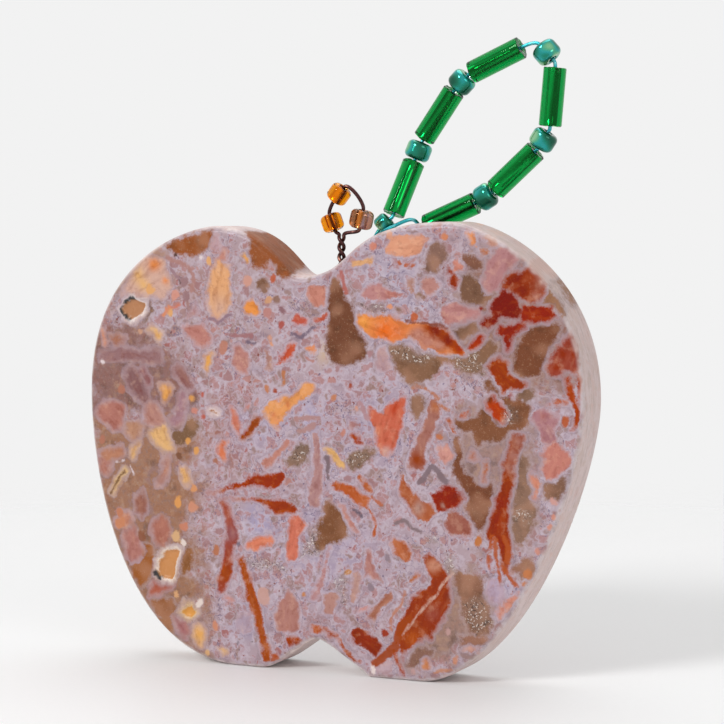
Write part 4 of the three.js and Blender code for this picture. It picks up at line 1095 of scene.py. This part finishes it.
# the turns also set which way each bore's painted dark reflections face
bugleTurns, seedTurns = (0, 55, 130, 200, 265, 180), (40, 100, 160, 190, 280)
for i, bugleTurn in enumerate(bugleTurns):  # a seed follows each bugle but the last
    beads.append((f"emeraldBugle{i + 1}", f"leaf_bugle_{i + 1}", "bugle", bugleTurn))
    if i < len(seedTurns):
        beads.append((f"tealSeed{i + 1}", f"leaf_seed_{i + 1}", "seed", seedTurns[i]))
beadForm = {  # how a bead is drawn, lengths in mm
    "sides": 40, "endSteps": 6, "wallSteps": 7, "boreSteps": 5, "mostRound": 0.9, "lip": 0.06, "lipRound": 0.3,
    "chipReach": 0.6, "chipRate": 3.0, "chipShift": 0.37, "otherEnd": 5.0, "streakShift": 0.9,
}
glass = {
    "emerald": "#06A248", "amber": "#F8980A", "luster": "#F0A04A", "ior": 1.4, "roughness": 0.0,
    "cloud": 1.1, "darker": 0.7,  # size in mm of the darker clouds in the body, and their tone
    "glint": 0.2,  # how white a reflection stays: light from inside the tinted glass outshines it
    # the right stem bead's rainbow film
    "film": "#9088A4", "filmStreak": 0.9, "filmStretch": 0.1, "filmFrom": 0.44, "filmFull": 0.58, "filmShare": 0.7,
}
silver = {  # bright and dull tone of each lining, width in mm and stretch of its streaks
    "gold": ("#FFE08A", "#5A3008"), "mauve": ("#E0C4B0", "#70400C"),
    "green": ("#E4F4E4", "#708870"), "teal": ("#CDE8E4", "#16403E"),
    "streak": 0.7, "stretch": 0.04, "dullTo": 0.42, "brightFrom": 0.58,
    "dullRoughness": 0.14, "brightRoughness": 0.04,
}
luster = {
    "tones": (
        (0.0, "#054F3C"), (0.25, "#096E52"), (0.42, "#0E8670"),
        (0.55, "#22A0A6"), (0.72, "#3DA578"), (0.95, "#8CC094"),
    ),
    "drift": 1.9, "driftFrom": 0.28, "driftTo": 0.7, "fine": 0.2, "smooth": 0.04, "rough": 0.16,
    "metallic": 0.6, "specular": 0.1, "coat": 0.4, "coatRoughness": 0.03,
}


# Drawn glass tube, cut and tumbled: clear body colour, sharp gloss. A fired film dulls it to metal in streaks
def makeGlass(name, colour, film=None):
    material, add = newMaterial(name)
    place = add("Attribute", attribute_name="threadPlace").outputs["Vector"]
    cloud = add("TexNoise", {"Vector": place, "Scale": 1 / glass["cloud"], "Detail": 3.0})
    darker = [c * glass["darker"] for c in linear(colour)[:3]] + [1.0]
    body = add("Mix", {0: cloud, 6: linear(colour), 7: darker}, data_type="RGBA")
    glint = [glass["glint"] + (1 - glass["glint"]) * c for c in linear(colour)]
    metal = 0.0
    if film:
        flow = add("VectorMath", {0: place, 1: (1, 1, glass["filmStretch"])}, operation="MULTIPLY")
        thick = add("TexNoise", {"Vector": flow, "Scale": 1 / glass["filmStreak"], "Detail": 1.0})
        metal = add("MapRange", {
            "Value": thick, "From Min": glass["filmFrom"], "From Max": glass["filmFull"],
            "To Max": glass["filmShare"],
        })
        body = add("Mix", {0: metal, 6: body, 7: linear(film)}, data_type="RGBA")
    shader = add("BsdfPrincipled", {
        "Base Color": body, "Metallic": metal, "Roughness": glass["roughness"], "IOR": glass["ior"],
        "Specular Tint": glint, "Transmission Weight": 1.0,
    })
    add("OutputMaterial", {"Surface": shader})
    return material


# Silvered bore: mirror streaks with dull stripes along the thread, partly worn silvering and partly painted dark
# reflections
def makeLining(tone):
    material, add = newMaterial(tone + "Silvering")
    bright, dull = silver[tone]
    place = add("Attribute", attribute_name="threadPlace").outputs["Vector"]
    flow = add("VectorMath", {0: place, 1: (1, 1, silver["stretch"])}, operation="MULTIPLY")
    streak = add("TexNoise", {"Vector": flow, "Scale": 1 / silver["streak"], "Detail": 1.0})
    share = add("MapRange", {"Value": streak, "From Min": silver["dullTo"], "From Max": silver["brightFrom"]})
    # the dull stripes: painted dark reflections in the mirror bore, as well as worn silvering
    colour = add("Mix", {0: share, 6: linear(dull), 7: linear(bright)}, data_type="RGBA")
    rough = add("MapRange", {"Value": streak, "To Min": silver["dullRoughness"], "To Max": silver["brightRoughness"]})
    shader = add("BsdfPrincipled", {"Base Color": colour, "Metallic": 1.0, "Roughness": rough})
    add("OutputMaterial", {"Surface": shader})
    return material


# Luster-coated seed glass: a fired metal film, so it shines like tinted metal and drifts from teal to mint, partly
# the film's own colour play and partly painted reflection contrast with painted mint highlights
def makeLuster():
    material, add = newMaterial("tealLusterGlass")
    place = add("Attribute", attribute_name="threadPlace").outputs["Vector"]
    drift = add("TexNoise", {"Vector": place, "Scale": 1 / luster["drift"], "Detail": 0.0})
    spread = add("MapRange", {"Value": drift, "From Min": luster["driftFrom"], "From Max": luster["driftTo"]})
    # dark and mint ends of the ramp: painted reflection contrast and highlights over the film's own teal drift
    tones = add("ValToRGB", {0: spread}, stops=luster["tones"])
    tones.color_ramp.interpolation = "B_SPLINE"
    fine = add("TexNoise", {"Vector": place, "Scale": 1 / luster["fine"], "Detail": 3.0})
    rough = add("MapRange", {"Value": fine, "To Min": luster["smooth"], "To Max": luster["rough"]})
    shader = add("BsdfPrincipled", {
        "Base Color": tones, "Metallic": luster["metallic"], "Roughness": rough,
        "Specular IOR Level": luster["specular"], "Coat Weight": luster["coat"],
        "Coat Roughness": luster["coatRoughness"],
    })
    add("OutputMaterial", {"Surface": shader})
    return material


def beadMesh(name, kind, turn):  # a tube about Z with rounded ends, its bore as a second material
    sides, radius, half, bore = beadForm["sides"], kind["width"] / 2, kind["length"] / 2, kind["bore"] / 2
    edge = min(kind["round"], beadForm["mostRound"] * (radius - bore), beadForm["mostRound"] * half)
    turns = [math.radians(90 * i / beadForm["endSteps"]) for i in range(beadForm["endSteps"] + 1)]
    arc = [(radius - edge + edge * math.sin(a), half - edge + edge * math.cos(a)) for a in turns]
    lip, bend = beadForm["lip"], beadForm["lip"] * beadForm["lipRound"]
    inner = [(bore, half - lip), (bore + bend, half - bend), (bore + lip, half)]
    side = [(radius, z) for z in np.linspace(half - edge, edge - half, beadForm["wallSteps"] + 1)[1:-1]]
    lining = [(bore, z) for z in np.linspace(lip - half, half - lip, beadForm["boreSteps"] + 1)[1:-1]]
    profile = inner + arc + side + [(r, -z) for r, z in reversed(inner + arc)] + lining
    points, faces, looks = [], [], []
    rate, reach = beadForm["chipRate"], beadForm["chipReach"]
    for r, z in profile:
        layer = turn * beadForm["chipShift"] + (beadForm["otherEnd"] if z > 0 else 0)
        near = max(0.0, (abs(z) - half + reach) / reach)
        for i in range(sides):
            angle = 2 * math.pi * i / sides
            ragged = noise.noise((rate * math.cos(angle), rate * math.sin(angle), layer))
            short = kind["chip"] * (0.5 + 0.5 * max(-1.0, min(1.0, 2 * ragged))) * near ** 2
            points.append((r * math.cos(angle), r * math.sin(angle), z - math.copysign(short, z)))
    rings = len(profile)
    for k in range(rings):
        for i in range(sides):
            j, after = (i + 1) % sides, (k + 1) % rings
            faces.append((k * sides + i, after * sides + i, after * sides + j, k * sides + j))
            looks.append(1 if k >= rings - len(lining) - 1 else 0)
    mesh = bpy.data.meshes.new(name)
    mesh.from_pydata((np.array(points) * mm).tolist(), [], faces)
    mesh.polygons.foreach_set("material_index", looks)
    mesh.polygons.foreach_set("use_smooth", np.ones(len(faces), bool))
    own = np.array(points) + np.array([0, 0, beadForm["streakShift"] * turn])  # place in the bead, for its streaks
    mesh.attributes.new("threadPlace", "FLOAT_VECTOR", "POINT").data.foreach_set("vector", own.ravel())
    return mesh


beadLooks = {
    "amber": [makeGlass("amberGlass", glass["amber"]), makeLining("gold")],
    "luster": [makeGlass("amberLusterGlass", glass["luster"], glass["film"]), makeLining("mauve")],
    "bugle": [makeGlass("emeraldGlass", glass["emerald"]), makeLining("green")],
    "seed": [makeLuster(), makeLining("teal")],
}
beadLooks["rootSeed"] = beadLooks["seed"]
for name, node, kindName, turn in beads:
    kind = beadKinds[kindName]
    joint = jointOf[node + "_spin"]
    axis = Vector(joint["axis"]).normalized()
    spin = axis.to_track_quat("Z", "Y").to_matrix().to_4x4() @ Matrix.Rotation(math.radians(turn), 4, "Z")
    mesh = beadMesh(name, kind, turn)
    mesh.transform(Matrix.Translation(Vector(joint["pos_m"])) @ spin)
    piece = addPiece(name, mesh, beadLooks[kindName])
    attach(piece, node + "_body")
    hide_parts(node)
print("beads threaded", len(beads))

# Wires: the same way as the solids', drawn finer. Lengths in mm, in the slab's own middle plane
wire = {
    "width": 0.42, "strandGap": 0.12, "pitch": 2.2, "beadGap": 0.12,
    "sides": 14, "firstSide": (0.3, 0.9, 0.1), "shortest": 0.02,
    "topSteps": 60, "twistSteps": 60, "bendSteps": 14, "returnSteps": 16, "overSteps": 24,
    "holeX": 0.9, "mouthZ": 44.098, "tailEndZ": 35.82, "stemTailY": -0.675, "leafTailY": 0.675,
    "stemTwist": 4.1, "stemSide": (-1, 0, 0), "stemEases": (0.35, 0.35, 0.8), "stemReturn": 0.6,
    "leafSide": (0, 1, 0.3), "leafEase": 0.3, "tipEase": 0.7, "tipBead": 6,
    "tailReach": 2.3, "tailBack": 2.2, "tailLift": 0.78,
    "tailWay": (1, 0.45, 0.75), "tailRise": 1.6, "tailEase": 1.2,
    "overReach": 2.6, "overBehind": 0.3, "overHeight": 1.1, "overWay": (-0.75, -0.6, -0.2), "overEase": 1.3,
    "besideReach": 0.75, "besideFront": 1.55, "besideHeight": 0.75,
    "besideWay": (-0.9, -0.2, -0.4), "besideEase": 0.6,
}


def unit(way):
    return np.array(way, float) / np.linalg.norm(way)


def stoneTop(x):  # height of the slab's top between its shoulders
    line = np.vstack([bezier(*stone["outline"][k], wire["topSteps"]) for k in (2, 3)])
    return float(np.interp(x, line[:, 0], line[:, 1]))


def bendTo(points, fromWay, to, toWay, ease, steps):  # the wire bends on to a place and a way
    start = points[-1]
    points += list(bezier(start, unit(fromWay) * ease, -unit(toWay) * ease, to, steps)[1:])


def runThrough(points, way, centre, axis, length, ease):  # into a bead, then straight along its bore
    reach = length / 2 + wire["beadGap"] / 4
    bendTo(points, way, centre - axis * reach, axis, ease, wire["bendSteps"])
    points += [centre + axis * reach * s for s in (-0.5, 0, 0.5, 1)]


def twistStrands(middle, spread, firstSide):  # two strands about a middle line, then straight down into the glue
    way = np.gradient(middle, axis=0)
    way /= np.linalg.norm(way, axis=1)[:, None]
    run = np.concatenate([[0], np.cumsum(np.linalg.norm(np.diff(middle, axis=0), axis=1))])
    side = np.array(firstSide, float)
    strands = [[], []]
    for i in range(len(middle) - 1, -1, -1):
        side = side - way[i] * (side @ way[i])
        side /= np.linalg.norm(side)
        turn = 2 * math.pi * (run[-1] - run[i]) / wire["pitch"]
        push = (side * math.cos(turn) + np.cross(way[i], side) * math.sin(turn)) * spread / 2
        strands[0].insert(0, middle[i] + push)
        strands[1].insert(0, middle[i] - push)
    for strand in strands:
        strand.insert(0, np.array([strand[0][0], strand[0][1], wire["tailEndZ"]]))
    return strands


def wireMesh(name, points, width):
    path = [points[0]]
    for p in points[1:]:
        if np.linalg.norm(p - path[-1]) > wire["shortest"]:
            path.append(p)
    path = np.array(path)
    way = np.gradient(path, axis=0)
    way /= np.linalg.norm(way, axis=1)[:, None]
    side = np.cross(way[0], wire["firstSide"])
    rings, sides = [], wire["sides"]
    for centre, along in zip(path, way):
        side = side - along * (side @ along)
        side /= np.linalg.norm(side)
        other = np.cross(along, side)
        turn = 2 * math.pi * np.arange(sides) / sides
        rings.append(centre + width / 2 * (np.cos(turn)[:, None] * side + np.sin(turn)[:, None] * other))
    faces = [(k * sides + i, k * sides + (i + 1) % sides, (k + 1) * sides + (i + 1) % sides, (k + 1) * sides + i)
             for k in range(len(path) - 1) for i in range(sides)]
    faces += [tuple(reversed(range(sides))), tuple((len(path) - 1) * sides + i for i in range(sides))]
    mesh = bpy.data.meshes.new(name)
    spots = np.vstack(rings) + np.array([0, midY, 0])
    mesh.from_pydata((spots * mm).tolist(), [], faces)
    mesh.polygons.foreach_set("use_smooth", np.ones(len(faces), bool))
    return mesh


def beadWay(node):  # centre in mm from the slab's middle plane, and thread axis
    joint = jointOf[node + "_spin"]
    return np.array(joint["pos_m"]) / mm - np.array([0, midY, 0]), unit(joint["axis"])


def stemPath():
    foot = np.array([wire["holeX"], wire["stemTailY"], wire["mouthZ"]])
    top = foot + np.array([0, 0, wire["stemTwist"]])
    middle = np.linspace(foot, top, wire["twistSteps"])
    points, down = twistStrands(middle, wire["width"] + wire["strandGap"], wire["stemSide"])
    way = unit((0, 0, 1))
    for (name, node, kindName, turn), ease in zip(beads[:3], wire["stemEases"]):
        centre, axis = beadWay(node)
        runThrough(points, way, centre, axis, beadKinds[kindName]["length"], ease)
        way = axis
    down.reverse()
    bendTo(points, way, down[0], (0, 0, -1), wire["stemReturn"], wire["returnSteps"])
    return points + down[1:]


def leafPath():
    tailX = wire["holeX"] + wire["tailReach"]
    top = np.array([tailX, wire["tailBack"], stoneTop(tailX) + wire["tailLift"]])
    foot = np.array([wire["holeX"], wire["leafTailY"], wire["mouthZ"]])
    way = unit(wire["tailWay"])
    middle = bezier(foot, np.array([0, 0, wire["tailRise"]]), -way * wire["tailEase"], top, wire["twistSteps"])
    points, down = twistStrands(middle, wire["width"] + wire["strandGap"], wire["leafSide"])
    for i, (name, node, kindName, turn) in enumerate(beads[3:]):
        centre, axis = beadWay(node)
        ease = wire["tipEase"] if i == wire["tipBead"] else wire["leafEase"]
        runThrough(points, way, centre, axis, beadKinds[kindName]["length"], ease)
        way = axis
    root, _ = beadWay("leaf_root_seed")
    overX, besideX = root[0] + wire["overReach"], root[0] + wire["besideReach"]
    over = np.array([overX, stone["thickness"] / 2 + wire["overBehind"], stoneTop(overX) + wire["overHeight"]])
    beside = np.array([besideX, root[1] - wire["besideFront"], stoneTop(besideX) + wire["besideHeight"]])
    down.reverse()
    bendTo(points, way, over, wire["overWay"], wire["overEase"], wire["overSteps"])
    for fromWay, to, toWay in (
            (wire["overWay"], beside, wire["besideWay"]), (wire["besideWay"], down[0], -unit(wire["tailWay"]))):
        bendTo(points, fromWay, to, toWay, wire["besideEase"], wire["bendSteps"])
    return points + down[1:]


# Enamelled copper wire: a tinted gloss film over metal, paler where it is rubbed
enamel = {
    "brown": ("#42201F", "#B8806E"), "teal": ("#2FA3AC", "#9AD8D8"),  # film, rubbed film
    "rub": 0.7, "rubFrom": 0.52, "rubFull": 0.72, "rubShare": 0.6, "roughness": 0.2, "rubRoughness": 0.42,
    "metallic": 0.85, "coat": 0.2, "coatRoughness": 0.1,
}


def makeEnamel(tone):
    material, add = newMaterial(tone + "EnamelledCopper")
    film, rubbed = enamel[tone]
    spot = add("TexCoord").outputs["Object"]
    rub = add("TexNoise", {"Vector": spot, "Scale": 1 / (enamel["rub"] * mm), "Detail": 4.0})
    bare = add("MapRange", {
        "Value": rub, "From Min": enamel["rubFrom"], "From Max": enamel["rubFull"], "To Max": enamel["rubShare"],
    })
    colour = add("Mix", {0: bare, 6: linear(film), 7: linear(rubbed)}, data_type="RGBA")
    rough = add("MapRange", {"Value": rub, "To Min": enamel["roughness"], "To Max": enamel["rubRoughness"]})
    shader = add("BsdfPrincipled", {
        "Base Color": colour, "Metallic": enamel["metallic"], "Roughness": rough,
        "Coat Weight": enamel["coat"], "Coat Roughness": enamel["coatRoughness"],
    })
    add("OutputMaterial", {"Surface": shader})
    return material


for name, node, path, tone, slotName in (
        ("stemWire", "stem_wire", stemPath(), "brown", "brown_wire"),
        ("leafWire", "leaf_wire", leafPath(), "teal", "teal_wire")):
    piece = addPiece(name, wireMesh(name, path, wire["width"]), [makeEnamel(tone)])
    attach(piece, "apple")
    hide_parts(node)
print("wires bent")


# Cured epoxy: clear straw-coloured glue, smooth with a few bubbles
epoxy = {
    "clear": "#F0EBDD", "straw": "#D8CDB0", "bubble": 0.5, "bubbleFrom": 0.1, "bubbleFull": 0.3,
    "dimple": 0.1, "dimpleStrength": 0.3, "roughness": 0.15, "ior": 1.55, "transmission": 0.4,
}


def makeEpoxy():
    material, add = newMaterial("curedEpoxy")
    spot = add("TexCoord").outputs["Object"]
    bubbles = add("TexVoronoi", {"Vector": spot, "Scale": 1 / (epoxy["bubble"] * mm)})
    haze = add("MapRange", {"Value": bubbles, "From Min": epoxy["bubbleFrom"], "From Max": epoxy["bubbleFull"]})
    colour = add("Mix", {0: haze, 6: linear(epoxy["clear"]), 7: linear(epoxy["straw"])}, data_type="RGBA")
    dimple = add("Bump", {"Strength": epoxy["dimpleStrength"], "Distance": epoxy["dimple"] * mm, "Height": haze})
    shader = add("BsdfPrincipled", {
        "Base Color": colour, "Roughness": epoxy["roughness"], "IOR": epoxy["ior"],
        "Transmission Weight": epoxy["transmission"], "Normal": dimple,
    })
    add("OutputMaterial", {"Surface": shader})
    return material


plug = frame["nodes"]["glue_plug"]
plug.data.materials.clear()
plug.data.materials.append(makeEpoxy())
print("epoxy set")
